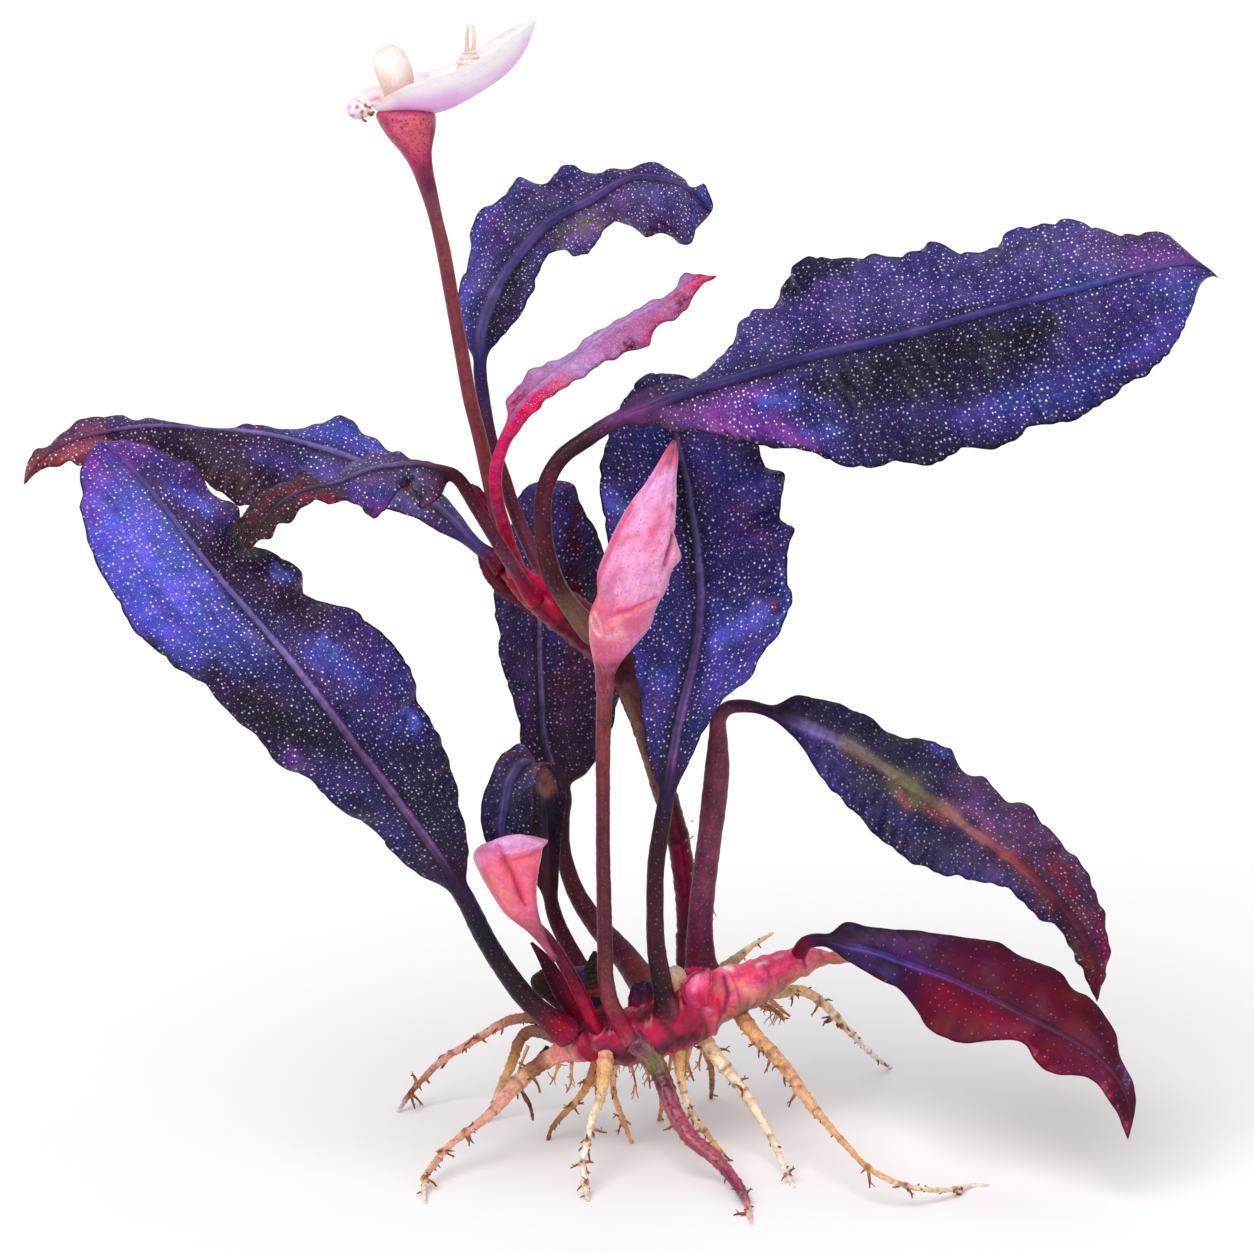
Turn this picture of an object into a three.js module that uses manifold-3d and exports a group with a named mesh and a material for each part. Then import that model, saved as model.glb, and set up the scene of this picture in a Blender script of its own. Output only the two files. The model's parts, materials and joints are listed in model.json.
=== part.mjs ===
// A bucephalandra: a small aquarium plant with a creeping rhizome, eleven long wavy leaves,
// one open flower, two buds and a crown of wiry roots that it stands on.
// Millimetres, +Z up, the viewer on the -Y side. The origin is on the floor, under the middle of the plant.
import * as THREE from 'three';
import { mergeVertices } from 'three/addons/utils/BufferGeometryUtils.js';
import Module from 'manifold-3d';

// Driving dimensions, in millimetres and degrees
const PLANT_WIDTH = 144;
const BLADE_THICKNESS = 0.45;
const PIECE_GAP = 0.3;
const RIB_TIP_RADIUS = 0.2;
const RIB_TAPER = 0.6;
const RIB_RISE = 0.5;
const TIP_TAPER = 0.125;
const THINNEST_RADIUS = 0.15;
const SPATHE_THICKNESS = 0.5;
const SPATHE_BULGE = 0.55;
const FLOOR_SIZE = 400;
const FLOOR_DEPTH = 20;
const ORIGIN_SHIFT = { x: -2.04, y: 1.57 };

// The viewer: every outline below is given as it is seen from here, as the column and row of a
// square picture, and every point also has a depth, which is how far back from the middle plane it lies.
const VIEW_DISTANCE = 800;
const VIEW_TILT = THREE.MathUtils.degToRad(15);
const AIM_HEIGHT = 66.5;
const PICTURE_MIDDLE = 627;
const WIDTH_IN_PIXELS = 1198;
const MM_PER_PIXEL = PLANT_WIDTH / WIDTH_IN_PIXELS;

// Mesh fineness
const BLADE_STATIONS = 20;
const FIRST_STATION = 0.004;
const LAST_STATION = 0.98;
const STEM_SIDES = 7;
const BLADE_SIDES = 8;
const ROOT_SIDES = 5;
const SAMPLES_PER_SPAN = 24;
const HORN_SIDES = 4;
const WIDTH_SAMPLES = 20;
const WAVE_REACH = [-0.08, -0.04, 0, 0.04, 0.08];
const MM_PER_STATION = 4.8;
const MM_PER_PETIOLE_STATION = 6.5;

const COS_TILT = Math.cos(VIEW_TILT);
const SIN_TILT = Math.sin(VIEW_TILT);
const EYE = new THREE.Vector3(0, -VIEW_DISTANCE * COS_TILT, AIM_HEIGHT + VIEW_DISTANCE * SIN_TILT);
const TOWARDS_VIEWER = new THREE.Vector3(0, -COS_TILT, SIN_TILT);

// The direction from the eye through one point of the picture.
function sightLine([column, row]) {
  const across = (column - PICTURE_MIDDLE) * MM_PER_PIXEL;
  const up = (PICTURE_MIDDLE - row) * MM_PER_PIXEL;
  return new THREE.Vector3(
    across,
    VIEW_DISTANCE * COS_TILT + up * SIN_TILT,
    -VIEW_DISTANCE * SIN_TILT + up * COS_TILT,
  );
}

// The point of the sight line that lies at a depth, or at a height above the floor.
function seenAtDepth(pixel, depth) {
  const line = sightLine(pixel);
  return EYE.clone().addScaledVector(line, (depth - EYE.y) / line.y);
}

function seenAtHeight(pixel, height) {
  const line = sightLine(pixel);
  return EYE.clone().addScaledVector(line, (height - EYE.z) / line.z);
}

// A value at the share t of a list whose entries are spread evenly, on a smooth curve through them.
function spread(values, t) {
  const last = values.length - 1;
  const at = Math.min(Math.max(t, 0), 1) * last;
  const i = Math.min(Math.floor(at), last - 1);
  const f = at - i;
  const [b, c] = [values[i], values[i + 1]];
  const a = i > 0 ? values[i - 1] : 2 * b - c;
  const d = i + 2 <= last ? values[i + 2] : 2 * c - b;
  return b + 0.5 * f * (c - a + f * (2 * a - 5 * b + 4 * c - d + f * (3 * (b - c) + d - a)));
}

// A smooth curve in the picture through a line of pixels; outline.at(t) is the pixel at the share t of
// its length.
function outline(pixels) {
  const points = pixels.map(([column, row]) => new THREE.Vector3(column, row, 0));
  const curve = new THREE.CatmullRomCurve3(points);
  const lengths = curve.getLengths(SAMPLES_PER_SPAN * (pixels.length - 1));
  const total = lengths[lengths.length - 1];
  curve.arcLengthDivisions = lengths.length - 1;
  return {
    shareOf: (index) => lengths[SAMPLES_PER_SPAN * index] / total,
    at: (t) => {
      const { x, y } = curve.getPointAt(Math.min(Math.max(t, 0), 1));
      return [x, y];
    },
  };
}

// A curve in space that is seen on a line of pixels, with depths spread evenly along it.
function path(pixels, depths) {
  const seen = outline(pixels);
  return (t) => seenAtDepth(seen.at(t), spread(depths, t));
}

// The direction in which a path runs, and its length.
function heading(pathAt, t) {
  const step = 0.01;
  return pathAt(Math.min(t + step, 1)).sub(pathAt(Math.max(t - step, 0))).normalize();
}

function pathLength(pathAt) {
  const steps = 40;
  let length = 0;
  for (let i = 0; i < steps; i += 1) {
    length += pathAt(i / steps).distanceTo(pathAt((i + 1) / steps));
  }
  return length;
}

// The side and front directions of a section that runs across a curve.
function sectionFrame(tangent) {
  const front = TOWARDS_VIEWER.clone().addScaledVector(tangent, -TOWARDS_VIEWER.dot(tangent)).normalize();
  const side = new THREE.Vector3().crossVectors(tangent, front).normalize();
  return { front, side };
}

// A closed surface through rings of points, each ring running anticlockwise round the way of growth. The
// second half of a ring is split along the mirrored diagonals, so the two faces of a thin blade stay
// parallel where it twists.
function loft(rings, start, end) {
  const sides = rings[0].length;
  const points = [start, ...rings.flat(), end];
  const indices = [];
  const at = (ring, side) => 1 + ring * sides + (side % sides);
  for (let side = 0; side < sides; side += 1) {
    indices.push(0, at(0, side + 1), at(0, side));
    for (let ring = 0; ring < rings.length - 1; ring += 1) {
      const [a, b] = [at(ring, side), at(ring, side + 1)];
      const [c, d] = [at(ring + 1, side + 1), at(ring + 1, side)];
      indices.push(...(side < sides / 2 ? [a, b, c, a, c, d] : [a, b, d, b, c, d]));
    }
    indices.push(points.length - 1, at(rings.length - 1, side), at(rings.length - 1, side + 1));
  }
  const geometry = new THREE.BufferGeometry().setFromPoints(points);
  geometry.setIndex(indices);
  return geometry;
}

// One ring of an oval section.
function ovalRing(centre, side, front, halfWidth, halfDepth, sides) {
  return Array.from({ length: sides }, (_, i) => {
    const angle = (2 * Math.PI * i) / sides;
    return centre
      .clone()
      .addScaledVector(side, -halfWidth * Math.cos(angle))
      .addScaledVector(front, halfDepth * Math.sin(angle));
  });
}

// A round stem or root along a path, with radii spread evenly along it.
function tube(pathAt, radii, sides, grow = 0) {
  const steps = Math.max(4, Math.round(pathLength(pathAt) / MM_PER_STATION));
  const rings = [];
  for (let i = 0; i <= steps; i += 1) {
    const t = i / steps;
    const radius = Math.max(spread(radii, t), THINNEST_RADIUS) + grow;
    const { side, front } = sectionFrame(heading(pathAt, t));
    rings.push(ovalRing(pathAt(t), side, front, radius, radius, sides));
  }
  return loft(rings, pathAt(0), pathAt(1));
}

function stem({ line, depths, radii, sides = STEM_SIDES }, grow = 0) {
  return tube(path(line, depths), radii, sides, grow);
}

// A round body between a left and a right outline, such as a bud. fullness is how thick it is against
// how wide it looks.
function pod({ left, right, depths, fullness = 1, sides = 10, steps = 14 }, grow = 0) {
  const leftAt = path(left, depths);
  const rightAt = path(right, depths);
  const middle = (t) => leftAt(t).lerp(rightAt(t), 0.5);
  const rings = [];
  for (let i = 0; i <= steps; i += 1) {
    const t = i / steps;
    const side = rightAt(t).sub(leftAt(t));
    const halfWidth = Math.max(side.length() / 2, THINNEST_RADIUS) + grow;
    side.normalize();
    const front = new THREE.Vector3().crossVectors(side, heading(middle, t)).normalize();
    rings.push(ovalRing(middle(t), side, front, halfWidth, halfWidth * fullness, sides));
  }
  return loft(rings, middle(0), middle(1));
}

// One half of a blade, from its midrib to an edge. The edge lies further back than the midrib by up to
// the length back, in proportion to how wide the half is there, and where the outline swings out or in
// the margin also waves to and fro.
function bladeHalf(edgePixels, ribAt, ribDepth, back, ruffle) {
  const edge = outline(edgePixels);
  const width = (s) => {
    const [a, b] = [edge.at(s), ribAt(s)];
    return MM_PER_PIXEL * Math.hypot(a[0] - b[0], a[1] - b[1]);
  };
  const widest = Math.max(...Array.from({ length: WIDTH_SAMPLES + 1 }, (_, i) => width(i / WIDTH_SAMPLES)));
  const meanWidth = (s) => WAVE_REACH.reduce((sum, step) => sum + width(s + step), 0) / WAVE_REACH.length;
  return (s) => {
    const depth = ribDepth(s) + (back * width(s)) / widest + ruffle * (meanWidth(s) - width(s));
    return seenAtDepth(edge.at(s), depth);
  };
}

// A leaf: a round petiole that flattens into a thin blade with a thick midrib. The blade is worked out
// from its midrib and its two edges, and its halves bow up a little between them.
function leaf(
  { line, bladeFrom, depths, radii, left, right, leftBack, rightBack, bow = 0.07, ruffle = 1.2 },
  grow = 0,
) {
  const whole = outline(line);
  const bladeStart = whole.shareOf(bladeFrom);
  const along = (s) => bladeStart + (1 - bladeStart) * Math.min(Math.max(s, 0), 1);
  const lineAt = (t) => seenAtDepth(whole.at(t), spread(depths, t));
  const ribAt = (s) => whole.at(along(s));
  const ribDepth = (s) => spread(depths, along(s));
  const edges = [
    bladeHalf(left, ribAt, ribDepth, leftBack, ruffle),
    bladeHalf(right, ribAt, ribDepth, rightBack, ruffle),
  ];

  // The rings of the petiole start on the side where the blade's left edge will be.
  const rings = [];
  const opening = edges[1](0).sub(edges[0](0));
  const turn = Math.sign(sectionFrame(heading(lineAt, bladeStart)).side.dot(opening));
  const petioleLength = bladeStart * pathLength(lineAt);
  const petioleSteps = Math.max(3, Math.round(petioleLength / MM_PER_PETIOLE_STATION));
  for (let i = 0; i < petioleSteps; i += 1) {
    const t = (bladeStart * i) / petioleSteps;
    const { side, front } = sectionFrame(heading(lineAt, t));
    const radius = turn * (spread(radii, i / petioleSteps) + grow);
    rings.push(ovalRing(lineAt(t), side, front, radius, radius, BLADE_SIDES));
  }
  for (let i = 0; i < BLADE_STATIONS; i += 1) {
    const s = THREE.MathUtils.lerp(FIRST_STATION, LAST_STATION, i / (BLADE_STATIONS - 1));
    const middle = lineAt(along(s));
    const [a, b] = edges.map((edge) => edge(s));
    const up = new THREE.Vector3().crossVectors(b.clone().sub(a), heading(lineAt, along(s))).normalize();
    const halfThickness = (BLADE_THICKNESS / 2) * Math.min(1, (1 - s) / TIP_TAPER) + grow;
    const ribRadius = THREE.MathUtils.lerp(radii[radii.length - 1], RIB_TIP_RADIUS, s ** RIB_TAPER) + grow;
    const between = (end, lift) => {
      const bowed = bow * end.distanceTo(middle);
      return middle.clone().lerp(end, 0.5).addScaledVector(up, bowed + lift);
    };
    rings.push([
      a,
      between(a, halfThickness),
      middle.clone().addScaledVector(up, ribRadius * RIB_RISE),
      between(b, halfThickness),
      b,
      between(b, -halfThickness),
      middle.clone().addScaledVector(up, -ribRadius),
      between(a, -halfThickness),
    ]);
  }
  return loft(rings, lineAt(0), lineAt(1));
}

// Cuts and joins of closed meshes
const wasm = await Module();
wasm.setup();

function solidOf(geometry) {
  const bare = new THREE.BufferGeometry().setAttribute('position', geometry.getAttribute('position'));
  bare.setIndex(geometry.index);
  const merged = mergeVertices(bare, 1e-4);
  return new wasm.Manifold(
    new wasm.Mesh({
      numProp: 3,
      vertProperties: merged.attributes.position.array,
      triVerts: new Uint32Array(merged.index.array),
    }),
  );
}

function geometryOf(solid) {
  const mesh = solid.getMesh();
  const positions = new Float32Array(mesh.numVert * 3);
  for (let i = 0; i < mesh.numVert; i += 1) {
    positions.set(mesh.vertProperties.subarray(i * mesh.numProp, i * mesh.numProp + 3), i * 3);
  }
  const geometry = new THREE.BufferGeometry();
  geometry.setAttribute('position', new THREE.BufferAttribute(positions, 3));
  return geometry.setIndex(new THREE.BufferAttribute(mesh.triVerts, 1));
}

// What is left of a piece once the grown shapes of its neighbours are cut away, without loose crumbs.
function trimmed(geometry, cutters) {
  const cut = cutters.reduce((solid, cutter) => solid.subtract(cutter), solidOf(geometry));
  const bodies = cut.decompose().sort((a, b) => b.volume() - a.volume());
  return geometryOf(bodies[0]);
}

function joined(...geometries) {
  return geometryOf(geometries.map(solidOf).reduce((sum, solid) => sum.add(solid)));
}

// Finishes: colour, roughness
const FINISHES = {
  leaf_blue: [0x3a3f9c, 0.45],
  leaf_dark: [0x33264f, 0.5],
  leaf_red: [0x5e1030, 0.45],
  leaf_pink: [0xc8508c, 0.45],
  stem_crimson: [0xb01040, 0.4],
  stem_maroon: [0x5a2030, 0.5],
  rhizome_pink: [0xd84868, 0.45],
  spathe_white: [0xf6e4f4, 0.4],
  spathe_pink: [0xee8aa8, 0.45],
  spadix_cream: [0xf4e2d4, 0.55],
  root_pale: [0xd8a878, 0.6],
  root_maroon: [0x8a2c48, 0.5],
  stub_brown: [0x42302a, 0.7],
};

function finished(finish) {
  const [color, roughness] = FINISHES[finish];
  return new THREE.MeshStandardMaterial({ name: finish, color, roughness, metalness: 0 });
}

const plant = new THREE.Group();
const floor = new THREE.BoxGeometry(FLOOR_SIZE, FLOOR_SIZE, FLOOR_DEPTH).translate(0, 0, -FLOOR_DEPTH / 2);
const grown = { floor: solidOf(floor) };

// Adds a piece to the plant. shape(grow) makes it, and what it grows from or passes is cut out of it
// with a gap, from the neighbour's own shape made a little thicker.
function place(name, finish, shape, neighbours = []) {
  const geometry = trimmed(shape(0), neighbours.map((neighbour) => grown[neighbour]));
  grown[name] = solidOf(shape(PIECE_GAP));
  geometry.computeVertexNormals();
  const mesh = new THREE.Mesh(geometry, finished(finish));
  mesh.name = name;
  plant.add(mesh);
}

// The creeping rhizome, from its old left end to its growing right end
const RHIZOME = {
  left: [
    [572, 1028], [590, 1020], [614, 1013], [640, 1006], [660, 998], [680, 974], [700, 966], [735, 965],
    [762, 958], [797, 947], [822, 949], [846, 953],
  ],
  right: [
    [576, 1056], [592, 1061], [615, 1065], [640, 1062], [662, 1055], [690, 1046], [712, 1032],
    [728, 1020], [752, 1007], [786, 986], [815, 969], [850, 962],
  ],
  depths: [-4, -3, -1, 1, 4, 8, 12],
  fullness: 0.95,
  steps: 13,
};

// The rising shoot, from the rhizome up behind the middle leaf to its crown of leaves
const SHOOT = {
  line: [
    [690, 995], [689, 960], [689, 920], [685, 880], [677, 835], [664, 790], [651, 745], [639, 705],
    [626, 672], [606, 647], [582, 625], [556, 606], [530, 588], [508, 568],
  ],
  depths: [4, 9, 9, 8, 7, 5, 2, -1, -2],
  radii: [1.6, 1.6, 1.5, 1.4, 1.4, 1.5, 1.6, 2.0, 2.5, 2.7, 2.3, 1.3],
};
place('rhizome', 'rhizome_pink', (grow) => pod(RHIZOME, grow));
place('rising_shoot', 'stem_crimson', (grow) => stem(SHOOT, grow), ['rhizome']);

// The leaves. line runs from the foot of the petiole to the tip of the blade, which starts at the
// control point bladeFrom; left and right are its edges as one looks along the way it grows;
// leftBack and rightBack are how far behind the midrib the edges lie.
const LEAVES = {
  leaf_left_big: {
    finish: 'leaf_blue',
    line: [
      [568, 1033], [552, 1021], [528, 1000], [505, 970], [485, 938], [463, 895], [415, 825], [350, 740],
      [285, 655], [215, 573], [150, 490], [120, 457], [97, 440],
    ],
    bladeFrom: 5,
    depths: [-5, -11, -18, -24, -27, -27, -25, -20, -14],
    radii: [1.5, 1.35, 1.25, 1.2, 1.15],
    left: [
      [455, 899], [440, 890], [410, 868], [388, 848], [375, 830], [345, 812], [325, 795], [312, 780],
      [282, 767], [270, 755], [250, 730], [228, 712], [205, 685], [178, 668], [157, 650], [138, 635],
      [122, 607], [112, 590], [95, 560], [86, 532], [80, 508], [83, 495], [79, 478], [86, 458], [95, 444],
    ],
    right: [
      [472, 897], [473, 878], [467, 845], [461, 810], [453, 775], [441, 742], [432, 722], [421, 708],
      [415, 683], [404, 662], [388, 640], [368, 622], [350, 608], [330, 604], [305, 594], [300, 572],
      [285, 560], [262, 548], [240, 541], [238, 508], [213, 495], [196, 466], [172, 456], [140, 443],
      [106, 440],
    ],
    leftBack: 1,
    rightBack: 10,
  },
  leaf_left_far: {
    finish: 'leaf_blue',
    line: [
      [503, 570], [492, 557], [478, 547], [455, 525], [430, 503], [400, 483], [370, 468], [345, 457],
      [280, 438], [210, 429], [150, 427], [100, 434], [63, 446], [38, 462], [24, 484],
    ],
    bladeFrom: 2,
    depths: [-1, 3, 6, 7, 7, 4, -2],
    radii: [0.95, 0.9, 0.85],
    left: [
      [473, 553], [455, 541], [432, 528], [400, 512], [370, 505], [335, 499], [300, 488], [275, 491],
      [250, 505], [232, 500], [215, 491], [200, 477], [182, 461], [150, 453], [115, 447], [92, 459],
      [80, 466], [60, 463], [42, 468], [25, 486],
    ],
    right: [
      [483, 543], [468, 524], [450, 502], [425, 478], [400, 458], [375, 440], [350, 422], [335, 418],
      [318, 424], [290, 428], [250, 426], [215, 430], [185, 424], [150, 419], [115, 417], [88, 419],
      [68, 428], [48, 443], [30, 458], [23, 484],
    ],
    leftBack: -5,
    rightBack: 6,
  },
  leaf_left_withered: {
    finish: 'leaf_dark',
    line: [
      [536, 600], [528, 590], [512, 565], [495, 538], [476, 507], [456, 477], [430, 468], [400, 466],
      [365, 473], [335, 485], [305, 492], [280, 506], [260, 528], [246, 547],
    ],
    bladeFrom: 5,
    depths: [-3, -8, -9, -10, -14, -20, -26],
    radii: [0.95, 0.85, 0.8, 0.8],
    left: [
      [451, 483], [445, 492], [435, 502], [418, 507], [408, 487], [395, 495], [385, 507], [365, 513],
      [355, 503], [338, 505], [318, 503], [303, 508], [290, 517], [280, 529], [265, 538], [248, 548],
    ],
    right: [
      [459, 470], [430, 462], [405, 456], [378, 455], [352, 463], [332, 477], [315, 481], [300, 474],
      [286, 480], [270, 486], [256, 500], [244, 516], [238, 532], [244, 546],
    ],
    leftBack: -4,
    rightBack: 5,
  },
  leaf_top: {
    finish: 'leaf_blue',
    line: [
      [555, 592], [546, 577], [530, 547], [515, 512], [503, 475], [491, 440], [484, 402], [480, 365],
      [486, 322], [507, 275], [540, 232], [585, 203], [635, 178], [676, 183], [712, 211],
    ],
    bladeFrom: 7,
    depths: [0, 4, 7, 10, 12, 13, 12, 9, 4],
    radii: [1.0, 0.85, 0.8, 0.8],
    left: [
      [472, 370], [466, 345], [460, 320], [458, 295], [461, 278], [470, 266], [472, 250], [471, 235],
      [483, 208], [497, 202], [510, 187], [520, 178], [533, 182], [548, 183], [562, 166], [573, 165],
      [585, 172], [620, 170], [655, 163], [683, 178], [692, 186], [705, 185], [714, 200], [714, 209],
    ],
    right: [
      [487, 364], [492, 350], [505, 333], [518, 315], [530, 298], [537, 280], [543, 262], [555, 251],
      [566, 250], [574, 256], [590, 251], [605, 228], [618, 222], [632, 227], [648, 238], [662, 233],
      [680, 242], [690, 240], [703, 221], [711, 214],
    ],
    leftBack: 3,
    rightBack: -4,
  },
  leaf_young_pink: {
    finish: 'leaf_pink',
    line: [
      [517, 574], [513, 560], [505, 530], [497, 500], [496, 470], [503, 445], [518, 412], [548, 382],
      [580, 357], [620, 327], [665, 300], [698, 281], [717, 276],
    ],
    bladeFrom: 5,
    depths: [-3, -4, -4, -4, -3, 0, 2, 3],
    radii: [0.95, 0.85, 0.8, 0.75],
    left: [
      [497, 442], [507, 420], [508, 400], [523, 382], [530, 370], [545, 365], [562, 357], [578, 348],
      [590, 333], [615, 322], [645, 305], [672, 292], [685, 273], [697, 276], [716, 275],
    ],
    right: [
      [511, 446], [523, 426], [537, 410], [550, 398], [575, 380], [592, 371], [618, 357], [630, 352],
      [645, 348], [658, 326], [672, 320], [692, 300], [697, 291], [707, 283], [717, 277],
    ],
    leftBack: 3,
    rightBack: -2,
  },
  leaf_right_big: {
    finish: 'leaf_blue',
    line: [
      [596, 634], [588, 627], [573, 610], [558, 587], [548, 560], [543, 530], [543, 500], [549, 477],
      [562, 457], [585, 440], [615, 421], [665, 401], [740, 378], [820, 355], [900, 337], [1000, 309],
      [1100, 284], [1185, 263], [1205, 266], [1219, 278],
    ],
    bladeFrom: 10,
    depths: [-2, -8, -7, -5, -6, -9, -14, -19, -23, -26],
    radii: [1.3, 1.15, 1.05, 1.0, 1.0],
    left: [
      [606, 414], [625, 395], [660, 384], [700, 375], [728, 350], [748, 312], [775, 308], [787, 280],
      [808, 257], [835, 260], [865, 255], [905, 256], [935, 243], [965, 254], [993, 248], [1015, 229],
      [1040, 227], [1070, 220], [1100, 230], [1130, 236], [1165, 233], [1188, 255], [1203, 262],
    ],
    right: [
      [619, 428], [635, 432], [655, 425], [675, 433], [695, 430], [740, 442], [790, 449], [815, 452],
      [832, 462], [870, 467], [903, 461], [930, 465], [965, 448], [1000, 447], [1030, 428], [1070, 420],
      [1100, 405], [1135, 380], [1160, 362], [1180, 335], [1195, 300], [1198, 285], [1206, 271],
    ],
    leftBack: 11,
    rightBack: -6,
  },
  leaf_centre: {
    finish: 'leaf_blue',
    line: [
      [671, 1022], [668, 1012], [662, 985], [656, 945], [655, 905], [656, 865], [661, 830], [666, 800],
      [671, 765], [680, 718], [692, 668], [700, 620], [700, 572], [693, 515], [682, 460], [668, 410],
      [656, 374],
    ],
    bladeFrom: 7,
    depths: [-2, -8, -8, -6, -4, -1, 3, 7, 12],
    radii: [1.45, 1.2, 1.05, 1.05, 1.0],
    left: [
      [658, 800], [652, 775], [645, 735], [640, 695], [634, 660], [625, 620], [615, 578], [608, 535],
      [602, 502], [600, 478], [603, 455], [613, 425], [630, 392], [645, 374], [653, 371],
    ],
    right: [
      [674, 800], [688, 765], [707, 725], [730, 693], [748, 682], [758, 659], [777, 636], [792, 595],
      [786, 577], [790, 545], [793, 528], [780, 519], [781, 498], [785, 474], [768, 468], [757, 445],
      [735, 410], [705, 386], [680, 375], [661, 370],
    ],
    leftBack: -2,
    rightBack: -3,
  },
  leaf_right_drooping: {
    finish: 'leaf_dark',
    line: [
      [704, 985], [701, 962], [700, 930], [703, 890], [708, 850], [713, 810], [717, 770], [718, 738],
      [719, 718], [728, 708], [745, 706], [762, 709], [800, 724], [860, 753], [920, 793], [980, 838],
      [1035, 880], [1075, 925], [1094, 965], [1097, 1002],
    ],
    bladeFrom: 11,
    depths: [2, 3, 5, 6, 4, -3, -11, -18, -23],
    radii: [2.1, 1.6, 1.5, 1.5, 1.55, 1.0, 0.7],
    left: [
      [762, 701], [795, 695], [820, 699], [845, 706], [865, 715], [893, 735], [935, 742], [950, 750],
      [965, 772], [985, 778], [1008, 802], [1025, 806], [1052, 833], [1078, 860], [1090, 880],
      [1106, 925], [1108, 950], [1104, 978], [1099, 1001],
    ],
    right: [
      [763, 717], [785, 730], [800, 745], [825, 782], [855, 812], [882, 840], [912, 863], [960, 877],
      [1005, 888], [1020, 898], [1033, 915], [1060, 930], [1080, 965], [1095, 1001],
    ],
    leftBack: 5,
    rightBack: -4,
  },
  leaf_right_red: {
    finish: 'leaf_red',
    line: [
      [797, 957], [806, 943], [822, 940], [848, 946], [880, 955], [920, 969], [960, 985], [1000, 1004],
      [1040, 1024], [1075, 1044], [1102, 1063], [1120, 1085], [1129, 1112], [1128, 1140],
    ],
    bladeFrom: 2,
    depths: [7, 3, -3, -9, -15, -20, -23],
    radii: [1.0, 0.9, 0.8],
    left: [
      [818, 930], [830, 924], [850, 922], [870, 927], [920, 931], [960, 937], [1000, 943], [1018, 955],
      [1060, 972], [1072, 988], [1090, 998], [1115, 1032], [1120, 1055], [1135, 1090], [1135, 1110],
      [1129, 1139],
    ],
    right: [
      [822, 949], [840, 957], [880, 980], [900, 990], [915, 1008], [928, 1028], [945, 1038], [962, 1043],
      [1010, 1040], [1025, 1045], [1035, 1060], [1050, 1073], [1090, 1079], [1115, 1110], [1127, 1139],
    ],
    leftBack: 4,
    rightBack: -4,
  },
  leaf_back_dark: {
    finish: 'leaf_dark',
    line: [
      [658, 1010], [640, 978], [625, 957], [597, 925], [575, 890], [563, 850], [562, 818], [564, 795],
      [552, 768], [543, 735], [540, 690], [538, 640], [540, 590], [545, 535], [549, 482],
    ],
    bladeFrom: 7,
    depths: [2, 11, 16, 18, 18, 17, 16, 18],
    radii: [2.1, 1.5, 1.05, 0.95],
    left: [
      [557, 797], [538, 783], [525, 760], [518, 718], [509, 688], [498, 650], [499, 630], [495, 610],
      [495, 585], [503, 550], [514, 515], [523, 490], [538, 479],
    ],
    right: [
      [571, 793], [590, 768], [605, 745], [618, 695], [617, 655], [612, 615], [606, 570], [598, 535],
      [583, 508], [572, 484], [558, 478],
    ],
    leftBack: -2,
    rightBack: 3,
  },
  leaf_curled_small: {
    finish: 'leaf_dark',
    line: [
      [606, 1018], [593, 990], [580, 966], [568, 945], [557, 922], [551, 900], [550, 870], [549, 830],
      [546, 795], [538, 770], [523, 764], [511, 778], [505, 802], [502, 828], [501, 850],
    ],
    bladeFrom: 5,
    depths: [-1, 4, 6, 6, 5, 2, -4, -8, -9],
    radii: [1.3, 1.1, 1.0, 0.9],
    left: [
      [558, 900], [559, 870], [562, 830], [566, 795], [563, 772], [552, 763], [540, 770], [534, 792],
      [533, 820], [527, 840], [505, 852],
    ],
    right: [
      [543, 900], [538, 870], [535, 838], [534, 805], [530, 770], [518, 752], [503, 762], [490, 778],
      [482, 800], [481, 822], [486, 842], [498, 852],
    ],
    leftBack: 0,
    rightBack: 0,
    bow: 0.1,
  },
};
for (const [name, shape] of Object.entries(LEAVES)) {
  const neighbours = ['rhizome', 'rising_shoot', ...(shape.passes ?? [])];
  place(name, shape.finish, (grow) => leaf(shape, grow), neighbours);
}

// The open flower: a speckled stalk that flares into a cup, a boat-shaped spathe, the spadix and its horns
const OPEN_STALK = {
  left: [
    [503, 565], [492, 525], [482, 482], [473, 440], [463, 400], [454, 350], [445, 300], [436, 250],
    [428, 215], [419, 188], [410, 166], [400, 151], [388, 137], [379, 122],
  ],
  right: [
    [516, 561], [506, 522], [497, 479], [487, 437], [477, 397], [468, 347], [459, 298], [450, 248],
    [443, 220], [437, 190], [433, 168], [432, 150], [434, 133], [431, 121],
  ],
  depths: [0, 1, 1, 0, -1, -2, -3, -4],
  steps: 16,
  sides: 8,
};
place('flower_open_stalk', 'stem_maroon', (grow) => pod(OPEN_STALK, grow), [
  'rising_shoot', 'leaf_left_far', 'leaf_young_pink', 'leaf_left_withered', 'leaf_top',
]);

const OPEN_SPATHE = {
  keel: [
    [372, 108], [388, 112], [408, 114], [428, 113], [448, 108], [468, 99], [488, 88], [507, 74],
    [520, 59], [529, 43], [536, 23],
  ],
  near: [
    [366, 104], [385, 100], [405, 95], [425, 87], [445, 78], [465, 68], [485, 56], [503, 45], [517, 36],
    [528, 28], [536, 22],
  ],
  far: [
    [357, 99], [368, 88], [386, 87], [405, 83], [425, 80], [442, 72], [462, 63], [482, 52], [500, 42],
    [514, 34], [527, 26], [536, 21],
  ],
  depth: -4,
  halfBreadth: 5,
  steps: 16,
};

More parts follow.
